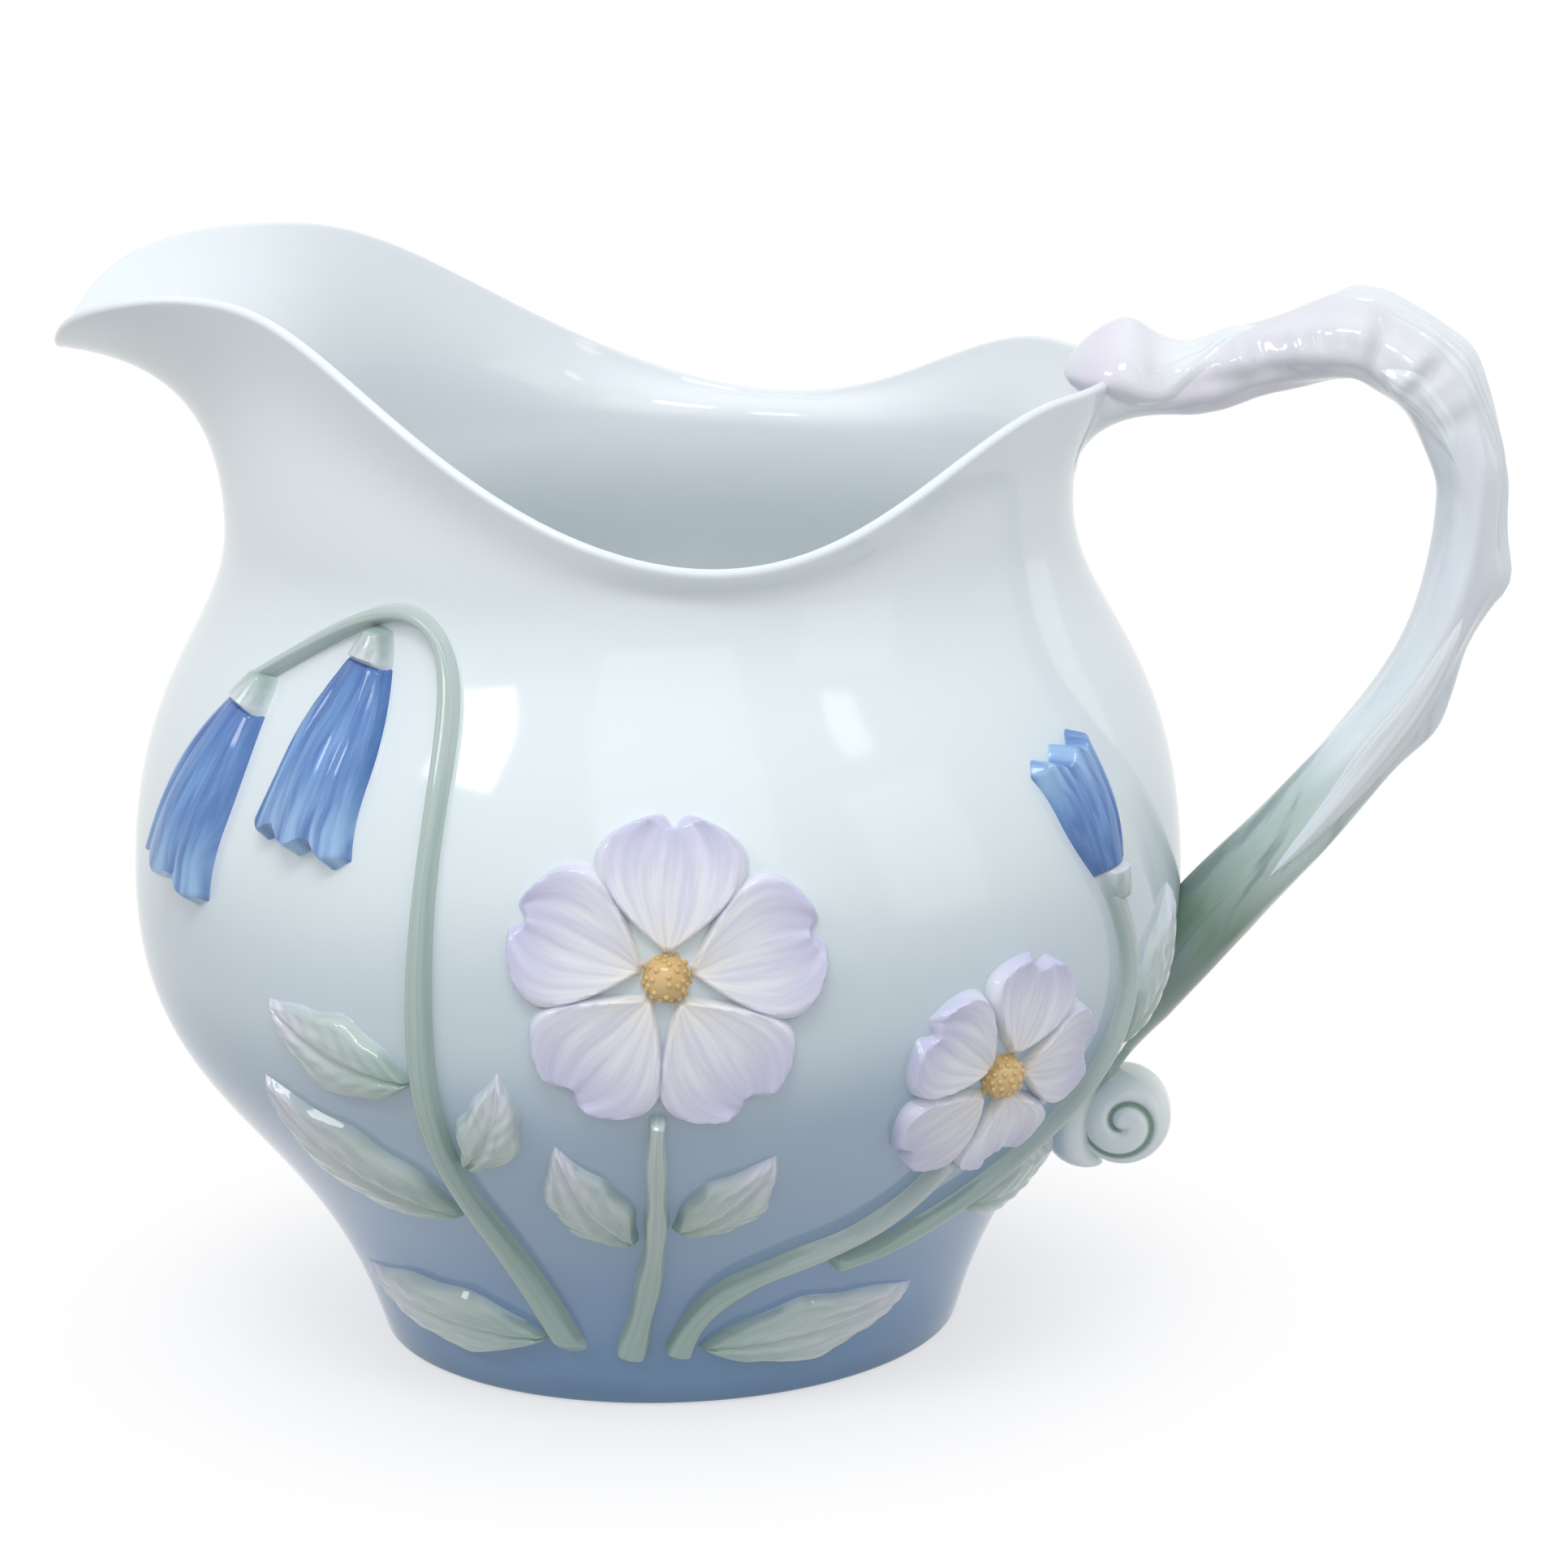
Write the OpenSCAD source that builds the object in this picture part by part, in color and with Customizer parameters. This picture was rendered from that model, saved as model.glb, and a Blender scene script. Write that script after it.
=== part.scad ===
// Porcelain cream jug with a pulled spout, a branch handle and applied flower relief.
// Millimetres, +Z up. The origin is the middle of the foot on the table.
// The handle is toward +X, the spout toward -X and the main flower spray toward -Y.
// Azimuths are in degrees from the front: 0 is -Y, 90 is the handle and -90 the spout.

/* [Body] */
// Radius of the foot where it stands
foot_r = 29.8; // [26:0.1:34]
// Height of the foot ring under the base
foot_h = 4; // [2:0.1:7]
// Thickness of the foot ring
foot_wall = 3.4; // [2:0.1:6]
// Lean of the wall where it leaves the foot
foot_lean = 16; // [5:1:30]
// Radius of the belly at its widest
belly_r = 53.7; // [48:0.1:60]
// Height of the belly's widest line
belly_z = 48.2; // [42:0.1:56]
// Radius of the neck
neck_r = 43.1; // [38:0.1:48]
// Height of the neck above the belly's widest line
neck_rise = 37.5; // [32:0.1:44]
// Depth of the four soft flutes in the neck
neck_flute = 2; // [0:0.1:4]
// Thickness of the wall
wall = 2.4; // [1.6:0.1:4]
// Thickness of the floor
floor_t = 3; // [2:0.1:6]

/* [Rim and spout] */
// How far the spout tip stands out from the neck
spout_out = 15.8; // [10:0.1:24]
// Height of the spout tip above the neck
spout_rise = 17.8; // [12:0.1:22]
// Half of the angle that the pouring lip spans
spout_spread = 23; // [16:1:30]
// Slope of the spout at its tip, from level
spout_slope = 8; // [0:1:30]
// Height of the two rim shoulders above the neck
shoulder_rise = 25.4; // [20:0.1:32]
// Angle from the spout to each shoulder
shoulder_at = 25; // [18:1:35]
// Height of the two low points of the rim above the neck
dip_rise = 2.6; // [2:0.1:8]
// Angle from the spout to each low point
dip_at = 105; // [90:1:120]
// Height of the rim above the neck at the handle
heel_rise = 13; // [9:0.1:18]
// Angle from the spout where the rim levels out for the handle
heel_at = 160; // [145:1:170]
// How far the rim stands out from the neck at the handle
heel_out = 4.4; // [2:0.1:8]
// How far the rim stands out from the neck at the sides
rim_flare = 2; // [1:0.1:5]
// Slope of the wall at the sides of the rim, from level
rim_slope = 65; // [45:1:85]

/* [Handle] */
// Reach of the handle's top bend from the rim, along its middle
crest_out = 23; // [18:0.1:30]
// Rise of the handle's top bend above the rim
crest_rise = 3.2; // [0:0.1:8]
// Reach of the handle's outer bend from the belly, along its middle
grip_out = 29.4; // [24:0.1:36]
// Drop of the handle's outer bend below the rim
grip_drop = 13; // [8:0.1:20]
// Height at which the handle meets the belly
root_z = 43.5; // [36:0.1:48]
// Slope of the handle where it meets the belly
root_slope = 49; // [35:1:60]
// Half of the handle's thickness from the rim to the top bend
stem_top = 4.1; // [3:0.1:6]
// Half of the handle's thickness at the outer bend
stem_grip = 3.4; // [2.5:0.1:5]
// Half of the handle's thickness where it meets the belly
stem_root = 4.2; // [3:0.1:6]
// Half of the handle's breadth, seen from behind
stem_breadth = 4.8; // [3.5:0.1:7]
// Depth of the twisted lobes along the handle, as a share of its thickness
stem_lobe = 0.07; // [0:0.01:0.15]
// Radius of the curl at the handle's lower end
scroll_r = 5.3; // [4:0.1:8]
// Thickness of the curl
scroll_t = 9; // [6:0.1:12]
// Height of the curl's middle above the table
scroll_z = 21; // [17:0.1:25]

/* [Relief] */
// Slip joint under each applied piece
slip_gap = 0.2; // [0.15:0.05:0.3]
// Space between applied pieces that meet
sprig_gap = 0.6; // [0.4:0.1:1]
// Thickness of the applied pieces at their edges
relief_edge = 0.5; // [0.3:0.1:1]
// Crown of the leaves above their edges
leaf_crown = 1.3; // [0.5:0.1:2.5]
// Lift of the petal edges above the petal middles
petal_cup = 1.1; // [0.5:0.1:2]
// Crown of the stalks above their edges
stalk_crown = 1.4; // [0.5:0.1:2.5]
// Crown of the bells above their edges
bell_crown = 2.4; // [1:0.1:4]
// Length of the green cap at the top of each bell
cap_length = 4; // [3:0.1:6]
// Radius of the blossom eyes
eye_r = 2.6; // [1.5:0.1:3.5]
// Crown of the blossom eyes above their edges
eye_crown = 1.8; // [0.5:0.1:3]
// Number of petals on each blossom
petal_count = 5; // [4:1:6]

/* [Hidden] */
// Facets round the body, up the wall, up the flare and over the rounded lip
cols = 64;
wall_rows = 18;
flare_rows = 8;
lip_rows = 3;
// Steps along each of the handle's four curves and sides of its section
stem_steps = 12;
stem_sides = 16;
stem_twist = 290;
// How far the handle's middle lies outside and below the rim where it starts
stem_clear = 0.6;
stem_sink = 0.8;
// Angle below level at which the handle leaves the rim
stem_dip = 8;
// Rings of the handle's face on the rim, as shares of its section
seat_rings = [0.35, 0.7, 1];
// Space between the curl and the wall, and between the curl and the stem that it ends
scroll_gap = 0.3;
curl_gap = 0.6;
// Half thickness of the handle's tip and its place round the curl
stem_tip = 1;
stem_tip_at = 200;
// How strongly the curves of the wall, rim and handle hold their end directions
foot_pull = 0.53;
belly_pull = 0.45;
shoulder_pull = 0.6;
neck_pull = 0.3;
flare_pull = 0.45;
stem_pull = 0.37;
// How far the facets crowd together toward the spout, in degrees, and toward the neck
crowding = 20;
neck_crowding = 1.2;
// Sharpness of the spout and of the rim's reach at the handle
spout_power = 6;
spout_round = 0.12;
heel_power = 4;
heel_spread = 16;
// Petal width as a share of the room between its neighbours, and cap width as a share of the bell's
petal_fill = 0.62;
cap_fill = 0.42;

neck_z = belly_z + neck_rise;
floor_z = foot_h + floor_t;

function bezier(p, t) =
    pow(1 - t, 3) * p[0] + 3 * pow(1 - t, 2) * t * p[1]
    + 3 * (1 - t) * t * t * p[2] + pow(t, 3) * p[3];
function mix(a, b, t) = a + (b - a) * t;
function clip(t) = min(1, max(0, t));
function swing(t) = (1 - cos(180 * clip(t))) / 2;
function unit(v) = v / norm(v);
function along(angle) = [cos(angle), sin(angle)];
function flat(lists) = [for (list = lists) each list];

// The wall's outline from the foot to the neck, as radius and height
low_curve = [
    [foot_r, 0],
    [foot_r + foot_pull * belly_z * tan(foot_lean), foot_pull * belly_z],
    [belly_r, belly_z * (1 - belly_pull)],
    [belly_r, belly_z]
];
high_curve = [
    [belly_r, belly_z],
    [belly_r, belly_z + shoulder_pull * neck_rise],
    [neck_r, neck_z - neck_pull * neck_rise],
    [neck_r, neck_z]
];
outline_steps = 40;
outline = concat(
    [for (i = [0 : outline_steps - 1]) bezier(low_curve, i / outline_steps)],
    [for (i = [0 : outline_steps]) bezier(high_curve, i / outline_steps)]
);
last = len(outline) - 1;

// Distance up the wall from the foot to each outline point
climb = [
    for (i = 0, s = 0; i <= last; i = i + 1, s = s + norm(outline[min(i, last)] - outline[i - 1])) s
];
radius_by_climb = [for (i = [0 : last]) [climb[i], outline[i].x]];
height_by_climb = [for (i = [0 : last]) [climb[i], outline[i].y]];
climb_by_height = [for (i = [0 : last]) [outline[i].y, climb[i]]];
radius_by_height = [for (p = outline) [p.y, p.x]];
lean_by_climb = [
    for (i = [0 : last])
        let (step = outline[min(i + 1, last)] - outline[max(i - 1, 0)])
            [climb[i], atan2(-step.x, step.y)]
];
belly_climb = climb[outline_steps];
neck_climb = climb[last];
foot_climb = lookup(foot_h, climb_by_height);

// Soft flutes that fade out from the neck down to the belly
function flute(az, share) = neck_flute * (1 - cos(4 * az)) / 2 * swing(share);
function neck_radius(az) = neck_r - flute(az, 1);

// A point on the outer wall, raised from it by lift
function wall_point(az, s, lift = 0) =
    let (
        lean = lookup(s, lean_by_climb),
        share = (s - belly_climb) / (neck_climb - belly_climb),
        r = lookup(s, radius_by_climb) - flute(az, share) + lift * cos(lean)
    )
    [r * sin(az), -r * cos(az), lookup(s, height_by_climb) + lift * sin(lean)];

// The rim, by the angle from the spout
function from_spout(az) = abs((az + 270) % 360 - 180);
function spout_share(turn) =
    (1 - spout_round * clip(pow(turn / spout_spread, 2))) / (1 + pow(turn / spout_spread, spout_power));
function heel_share(turn) = 1 / (1 + pow((180 - turn) / heel_spread, heel_power));
function rim_radius(az) =
    let (turn = from_spout(az))
    neck_radius(az) + rim_flare
    + (spout_out - rim_flare) * spout_share(turn)
    + (heel_out - rim_flare) * heel_share(turn);
function rim_rise(turn) =
    turn < shoulder_at
        ? mix(spout_rise, shoulder_rise, swing(turn / shoulder_at))
        : turn < dip_at
            ? mix(shoulder_rise, dip_rise, swing((turn - shoulder_at) / (dip_at - shoulder_at)))
            : mix(dip_rise, heel_rise, swing((turn - dip_at) / (heel_at - dip_at)));
function rim_height(az) = neck_z + rim_rise(from_spout(az));

// The wall's outline from the neck up to the rim at one azimuth
function flare_curve(az) =
    let (
        low = [neck_radius(az), neck_z],
        high = [rim_radius(az), rim_height(az)],
        pull = flare_pull * norm(high - low),
        slope = mix(rim_slope, spout_slope, spout_share(from_spout(az)))
    )
    [low, low + [0, pull], high - pull * along(slope), high];
function flare_point(az, t) =
    let (p = bezier(flare_curve(az), t))
    [p.x * sin(az), -p.x * cos(az), p.y];

// A closed skin through a stack of rings, with a middle point at each end
module loft(rings, first, final) {
    n = len(rings[0]);
    count = len(rings) * n;
    points = concat(flat(rings), [first, final]);
    faces = concat(
        [for (j = [0 : n - 1]) [count, j, (j + 1) % n]],
        [
            for (i = [0 : len(rings) - 2], j = [0 : n - 1])
                let (a = i * n + j, b = i * n + (j + 1) % n)
                    each [[a, a + n, b + n], [a, b + n, b]]
        ],
        [for (j = [0 : n - 1]) [count - n + j, count + 1, count - n + (j + 1) % n]]
    );
    polyhedron(points, faces, convexity = 10);
}

// A closed sheet between two grids of points, rows along it and columns across it
module sheet(top, under) {
    n = len(top);
    m = len(top[0]);
    under_at = n * m;
    faces = concat(
        [
            for (i = [0 : n - 2], j = [0 : m - 2])
                let (a = i * m + j, b = a + 1, c = b + m, d = a + m)
                    each [
                        [a, b, c], [a, c, d],
                        [a, c, b] + under_at * [1, 1, 1], [a, d, c] + under_at * [1, 1, 1]
                    ]
        ],
        [
            for (i = [0 : n - 2])
                let (a = i * m, d = a + m, b = a + m - 1, c = b + m)
                    each [
                        [a, d, d + under_at], [a, d + under_at, a + under_at],
                        [c, b, b + under_at], [c, b + under_at, c + under_at]
                    ]
        ],
        [
            for (j = [0 : m - 2])
                let (a = j, b = j + 1, d = (n - 1) * m + j, c = d + 1)
                    each [
                        [b, a, a + under_at], [b, a + under_at, b + under_at],
                        [d, c, c + under_at], [d, c + under_at, d + under_at]
                    ]
        ]
    );
    polyhedron(concat(flat(top), flat(under)), faces, convexity = 10);
}

// The outer skin of the body as rows of points from the base to the rim
azimuths = [for (j = [0 : cols - 1]) -90 + 360 * j / cols - crowding * sin(360 * j / cols)];
outer = concat(
    [
        for (i = [0 : wall_rows])
            let (below = pow(1 - i / wall_rows, neck_crowding))
            [for (az = azimuths) wall_point(az, mix(neck_climb, foot_climb, below))]
    ],
    [for (i = [1 : flare_rows]) [for (az = azimuths) flare_point(az, i / flare_rows)]]
);
top_row = len(outer) - 1;
function outward(i, j) =
    unit(cross(
        outer[i][(j + 1) % cols] - outer[i][(j + cols - 1) % cols],
        outer[min(i + 1, top_row)][j] - outer[max(i - 1, 0)][j]
    ));
function on_floor(p) = [p.x, p.y, max(p.z, floor_z)];
inner = [
    for (i = [0 : top_row])
        [for (j = [0 : cols - 1]) on_floor(outer[i][j] - wall * outward(i, j))]
];
lip = [
    for (k = [1 : lip_rows])
        [
            for (j = [0 : cols - 1])
                let (
                    out = outward(top_row, j),
                    up = unit(outer[top_row][j] - outer[top_row - 1][j]),
                    turn = along(180 * k / (lip_rows + 1))
                )
                outer[top_row][j] + wall / 2 * ((turn.x - 1) * out + turn.y * up)
        ]
];

module body_shell() {
    rings = concat(outer, lip, [for (i = [top_row : -1 : 0]) inner[i]]);
    color("azure") loft(rings, [0, 0, foot_h], [0, 0, floor_z]);
}

// The foot follows the wall's outline, with a softened edge where it stands
module foot_ring() {
    soft = foot_wall / 6;
    top_r = lookup(foot_h, radius_by_height);
    color("steelblue")
        rotate_extrude($fn = 96)
            polygon([
                [foot_r - foot_wall, soft], [foot_r - foot_wall + soft, 0],
                [foot_r - soft, 0], [foot_r + soft * tan(foot_lean), soft],
                [top_r, foot_h], [top_r - foot_wall, foot_h]
            ]);
}

// The handle's middle line in the XZ plane: rim, top bend, outer bend, belly, curl
heel = [rim_radius(90), rim_height(90)];
scroll_lean = lookup(lookup(scroll_z, climb_by_height), lean_by_climb);
scroll_mid = [lookup(scroll_z, radius_by_height) + (scroll_r + scroll_gap) / cos(scroll_lean), scroll_z];
stem_points = [
    [heel.x + stem_clear, heel.y - stem_sink],
    [heel.x + crest_out, heel.y + crest_rise],
    [belly_r + grip_out, heel.y - grip_drop],
    [belly_r + stem_root, root_z],
    scroll_mid + (scroll_r + stem_tip) * along(stem_tip_at)
];
stem_angles = [-stem_dip, 0, -90, 180 + root_slope, stem_tip_at + 70];
function stem_curve(k) =
    let (
        a = stem_points[k],
        b = stem_points[k + 1],
        pull = stem_pull * norm(b - a)
    )
    [a, a + pull * along(stem_angles[k]), b - pull * along(stem_angles[k + 1]), b];
// Middle point and direction, by a share from 0 at the rim to 4 at the curl
function stem_middle(q) =
    let (k = max(0, min(3, floor(q))))
    bezier(stem_curve(k), q - k);
function stem_heading(q) =
    let (step = stem_middle(min(4, q + 0.02)) - stem_middle(q - 0.02))
    atan2(step.y, step.x);
// Half thickness and half breadth by the same share
stem_halves = [
    [0, stem_top], [0.35, stem_top * 0.82], [1, stem_top], [2, stem_grip], [2.5, stem_grip * 0.97],
    [3, stem_root], [3.4, stem_root], [4, stem_tip]
];
stem_breadths = [[0, 1.35], [0.6, 1], [3, 1], [3.5, 1.05], [4, 0.5]];
function stem_half(q) = lookup(q, stem_halves);
function stem_wide(q) = stem_breadth * lookup(q, stem_breadths);
// A point on the handle's skin, turned from its outer side to the front and raised by lift
function stem_skin(q, turn, lift = 0) =
    let (
        middle = stem_middle(q),
        side = along(stem_heading(q) + 90),
        fade = clip(q / 0.5) * clip((3.4 - q) / 0.6),
        lobe = 1 + stem_lobe * fade * cos(3 * turn - stem_twist * q),
        reach = (stem_half(q) * lobe + lift) * cos(turn)
    )
    [
        middle.x + side.x * reach,
        -(stem_wide(q) * lobe + lift) * sin(turn),
        middle.y + side.y * reach
    ];

// Points inside the wall or the curl are moved out to its surface, so the handle seats there
function off_wall(p) =
    let (
        r = norm([p.x, p.y]),
        least = lookup(p.z, radius_by_height) + slip_gap
    )
    p.z < neck_z && r < least ? [p.x * least / r, p.y * least / r, p.z] : p;
function off_scroll(p) =
    let (
        away = [p.x, p.z] - scroll_mid,
        least = scroll_r + curl_gap,
        seat = scroll_mid + least * unit(away)
    )
    norm(away) < least ? [seat.x, p.y, seat.y] : p;
// The rim's outer face at the handle, by distance to the side and height
function heel_face(y, z) =
    let (
        az = 90 + asin(y / heel.x),
        face = [for (t = [0 : 0.1 : 1.01]) let (p = bezier(flare_curve(az), t)) [p.y, p.x]],
        r = lookup(z, face)
    )
    sqrt(r * r - y * y) + slip_gap;
function on_heel(p) = [heel_face(p.y, p.z), p.y, p.z];

module handle_stem() {
    turns = [for (j = [0 : stem_sides - 1]) 360 * j / stem_sides];
    rings = 4 * stem_steps;
    start = [for (turn = turns) stem_skin(0, turn)];
    mid = [stem_points[0].x, 0, stem_points[0].y];
    seat = [for (share = seat_rings) [for (p = start) on_heel(mix(mid, p, share))]];
    rest = [
        for (i = [1 : rings])
            [for (turn = turns) off_wall(off_scroll(stem_skin(4 * i / rings, turn)))]
    ];
    tip = stem_middle(4);
    color("darkseagreen")
        loft(concat(seat, rest), on_heel(mid), off_wall(off_scroll([tip.x, 0, tip.y])));
}

module handle_scroll() {
    soft = scroll_t / 4;
    color("darkseagreen")
        translate([scroll_mid.x, 0, scroll_mid.y])
            rotate([90, 0, 0])
                rotate_extrude($fn = 64)
                    polygon(concat(
                        [[0, -scroll_t / 2], [0, scroll_t / 2]],
                        [for (a = [90 : -30 : 0]) [scroll_r - soft, scroll_t / 2 - soft] + soft * along(a)],
                        [for (a = [0 : -30 : -90]) [scroll_r - soft, soft - scroll_t / 2] + soft * along(a)]
                    ));
}

// A leaf or petal laid along the handle: its ends, its turn from the outer side and its half width
module sheath(from, to, turn, half, shape, relief, rows = 16, columns = 6) {
    grid = [
        for (i = [0 : rows])
            let (
                t = i / rows,
                spread = half * shape(t) / stem_breadth * 180 / PI
            )
            [
                for (j = [0 : columns])
                    let (side = 2 * j / columns - 1)
                    [mix(from, to, t), turn - side * spread, relief(t, side)]
            ]
    ];
    sheet(
        [for (row = grid) [for (p = row) stem_skin(p[0], p[1], slip_gap + p[2])]],
        [for (row = grid) [for (p = row) stem_skin(p[0], p[1], slip_gap)]]
    );
}

// Places on the wall: an azimuth and a climb, moved by millimetres right and up
function moved(place, step) =
    let (s = place.y + step.y)
    [place.x + step.x / lookup(s, radius_by_climb) * 180 / PI, s];
// Steps along an arc that turns by bend degrees over its length
function arc_step(heading, bend, length, t) =
    abs(bend) < 0.1
        ? length * t * along(heading)
        : length * 180 / PI / bend
            * [sin(heading + bend * t) - sin(heading), cos(heading) - cos(heading + bend * t)];
// Centre line of a leaf, petal or bell: rows of a place, a heading, a half width and a share
function arc_line(place, heading, bend, length, half, shape, rows) = [
    for (i = [0 : rows])
        let (t = i / rows)
            [moved(place, arc_step(heading, bend, length, t)), heading + bend * t, half * shape(t), t]
];

// An applied piece that lies on the wall along a centre line
module sprig(line, relief, columns = 4) {
    grid = [
        for (row = line)
            [
                for (j = [0 : columns])
                    let (
                        side = 2 * j / columns - 1,
                        place = moved(row[0], side * row[2] * along(row[1] + 90))
                    )
                    [place, relief(row[3], side)]
            ]
    ];
    sheet(
        [for (row = grid) [for (p = row) wall_point(p[0].x, p[0].y, slip_gap + p[1])]],
        [for (row = grid) [for (p = row) wall_point(p[0].x, p[0].y, slip_gap)]]
    );
}

// Outlines along a piece, as shares of its half width
leaf_shape = function (t) max(0.08, pow(sin(180 * pow(t, 0.85)), 1.1));
petal_shape = function (t) max(0.14, pow(sin(180 * pow(t, 1.5)), 0.6));
bell_shape = function (t) 0.4 + 0.4 * sin(min(90, 150 * t)) + 0.2 * pow(t, 5);
cap_shape = function (t) 0.45 + 0.55 * sin(90 * t);
disc_shape = function (t) max(0.2, sqrt(1 - pow(2 * t - 1, 2)));
lap_shape = function (t) max(0.1, pow(sin(180 * pow(t, 0.55)), 0.75));
// Heights along and across a piece
leaf_relief = function (t, side)
    relief_edge + leaf_crown * sin(180 * pow(t, 0.7)) * (1 - side * side) * (side == 0 ? 0.7 : 1);
petal_relief = function (t, side)
    relief_edge + petal_cup * (0.35 + 0.65 * pow(abs(side), 1.5)) * sin(90 + 80 * (t - 0.5));
lap_relief = function (t, side) relief_edge + petal_cup * (0.35 + 0.65 * pow(abs(side), 1.5)) * (1 - t);
stalk_relief = function (t, side) relief_edge + stalk_crown * (1 - side * side);
bell_relief = function (t, side) relief_edge + bell_crown * (1 - side * side) * (0.5 + 0.5 * sin(120 * t));
disc_relief = function (t, side) relief_edge + eye_crown * sin(180 * t) * (1 - side * side);

// Stalks of the sprays: four points as azimuth and climb, the half width at each end and the rows
stalks = [
    [[[-13, 6], [-38, 46], [4, 116], [-52, 84]], 1.6, 0.9, 24],
    [[[-4, 6], [4, 20], [2, 32], [3, 42.5]], 1.6, 1.1, 10],
    [[[4.5, 6], [12, 24], [34, 16], [39, 31]], 1.5, 1.1, 12],
    [[[31, 18.4], [48, 20], [72, 34], [60, 58]], 1.1, 0.9, 14],
    [[[180, 6], [188, 20], [182, 32], [183, 42.5]], 1.6, 1.1, 10],
    [[[171.5, 6], [162, 22], [140, 26], [138, 48]], 1.3, 0.9, 14],
    [[[188.5, 6], [198, 24], [218, 18], [223, 33]], 1.4, 1, 12]
];
function stalk_place(k, t) = bezier(stalks[k][0], t);
function stalk_half(k, t) = mix(stalks[k][1], stalks[k][2], t);
function stalk_heading(k, t) =
    let (
        step = stalk_place(k, min(1, t + 0.02)) - stalk_place(k, max(0, t - 0.02)),
        r = lookup(stalk_place(k, t).y, radius_by_climb)
    )
    atan2(step.y, step.x * r * PI / 180);
// Where a piece that is half wide grows from a stalk with its own heading, clear of the stalk's edge
function stalk_side(k, t, heading, half) =
    let (
        turn = heading - stalk_heading(k, t),
        reach = stalk_half(k, t) + sprig_gap + half * abs(cos(turn))
    )
    moved(stalk_place(k, t), reach / max(0.4, abs(sin(turn))) * along(heading));
// Where a piece that is half wide carries on from a stalk's end with its own heading
function stalk_end(k, heading, half) =
    let (reach = sprig_gap + half * abs(sin(heading - stalk_heading(k, 1))))
    moved(stalk_place(k, 1), reach * along(stalk_heading(k, 1)));

// Leaves: stalk, share along it, heading, length, half width and bend
leaves = [
    [0, 0.02, 178, 28, 4.6, -12],
    [0, 0.16, 158, 28, 5.6, -34],
    [0, 0.3, 175, 20, 4.6, -30],
    [0, 0.22, 40, 15, 3.6, 50],
    [1, 0.42, 132, 19, 4.2, -36],
    [1, 0.5, 30, 17, 4, 36],
    [2, 0.03, 2, 27, 4.4, 12],
    [3, 0.3, 350, 22, 4.4, 30],
    [3, 0.72, 36, 20, 4.2, 36],
    [4, 0.42, 48, 20, 4.4, 40],
    [4, 0.5, 140, 18, 4.2, -36],
    [5, 0.03, 178, 28, 4.6, -12],
    [5, 0.5, 172, 22, 4.6, -34],
    [5, 0.74, 44, 19, 4.2, 34],
    [6, 0.03, 2, 26, 4.4, 12],
    [6, 0.72, 350, 18, 4.2, 40]
];

// Blossoms at stalk ends: stalk and petal length
blossoms = [[1, 16], [2, 13], [4, 15], [6, 12]];

// Bells: stalk, share along it, heading, length and half width
bells = [[0, 1, 254, 24, 7.4], [0, 0.86, 261, 24, 7.2], [3, 1, 104, 18, 5.4], [5, 1, 84, 17, 5.2]];

// The petal that laps over the rim, and the sheaths on the handle:
// where they start and end, their turn from the outer side and half width
lap = [-0.16, 0.8, 0, 5];
sheaths = [[0.85, 2.35, 0, 5.2], [1.1, 1.95, 110, 3.6], [2.15, 3.0, 75, 4]];

module rim_petal() {
    color("lavender") sheath(lap[0], lap[1], lap[2], lap[3], lap_shape, lap_relief);
}

module handle_sheath(k) {
    f = sheaths[k];
    color("lavender") sheath(f[0], f[1], f[2], f[3], leaf_shape, leaf_relief);
}

module stalk(k) {
    rows = stalks[k][3];
    line = [
        for (i = [0 : rows])
            let (t = i / rows)
                [stalk_place(k, t), stalk_heading(k, t), stalk_half(k, t), t]
    ];
    color("darkseagreen") sprig(line, stalk_relief, 2);
}

module leaf(k) {
    f = leaves[k];
    start = stalk_side(f[0], f[1], f[2], f[4] * leaf_shape(0));
    color("darkseagreen") sprig(arc_line(start, f[2], f[5], f[3], f[4], leaf_shape, 8), leaf_relief);
}

function blossom_middle(k) =
    let (s = blossoms[k][0])
    moved(stalk_place(s, 1), blossoms[k][1] * along(stalk_heading(s, 1)));

module blossom_petals(k) {
    reach = blossoms[k][1];
    inset = eye_r + sprig_gap;
    half = petal_fill * reach * tan(180 / petal_count);
    color("lavender")
        for (i = [0 : petal_count - 1]) {
            heading = stalk_heading(blossoms[k][0], 1) + 360 * i / petal_count;
            start = moved(blossom_middle(k), inset * along(heading));
            sprig(arc_line(start, heading, 0, reach - inset, half, petal_shape, 6), petal_relief);
        }
}

module blossom_eye(k) {
    start = moved(blossom_middle(k), [0, -eye_r]);
    color("burlywood") sprig(arc_line(start, 90, 0, 2 * eye_r, eye_r, disc_shape, 6), disc_relief);
}

function bell_start(k) =
    let (b = bells[k], half = cap_fill * b[4] * cap_shape(0))
    b[1] == 1 ? stalk_end(b[0], b[2], half) : stalk_side(b[0], b[1], b[2], half);

module bell_cap(k) {
    b = bells[k];
    line = arc_line(bell_start(k), b[2], 0, cap_length, cap_fill * b[4], cap_shape, 3);
    color("darkseagreen") sprig(line, bell_relief);
}

module bell(k) {
    b = bells[k];
    start = moved(bell_start(k), (cap_length + slip_gap) * along(b[2]));
    line = arc_line(start, b[2], 0, b[3] - cap_length, b[4], bell_shape, 6);
    color("cornflowerblue") sprig(line, bell_relief);
}

function named(word, list) = [for (k = [1 : len(list)]) str(word, "_", k)];

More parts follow.
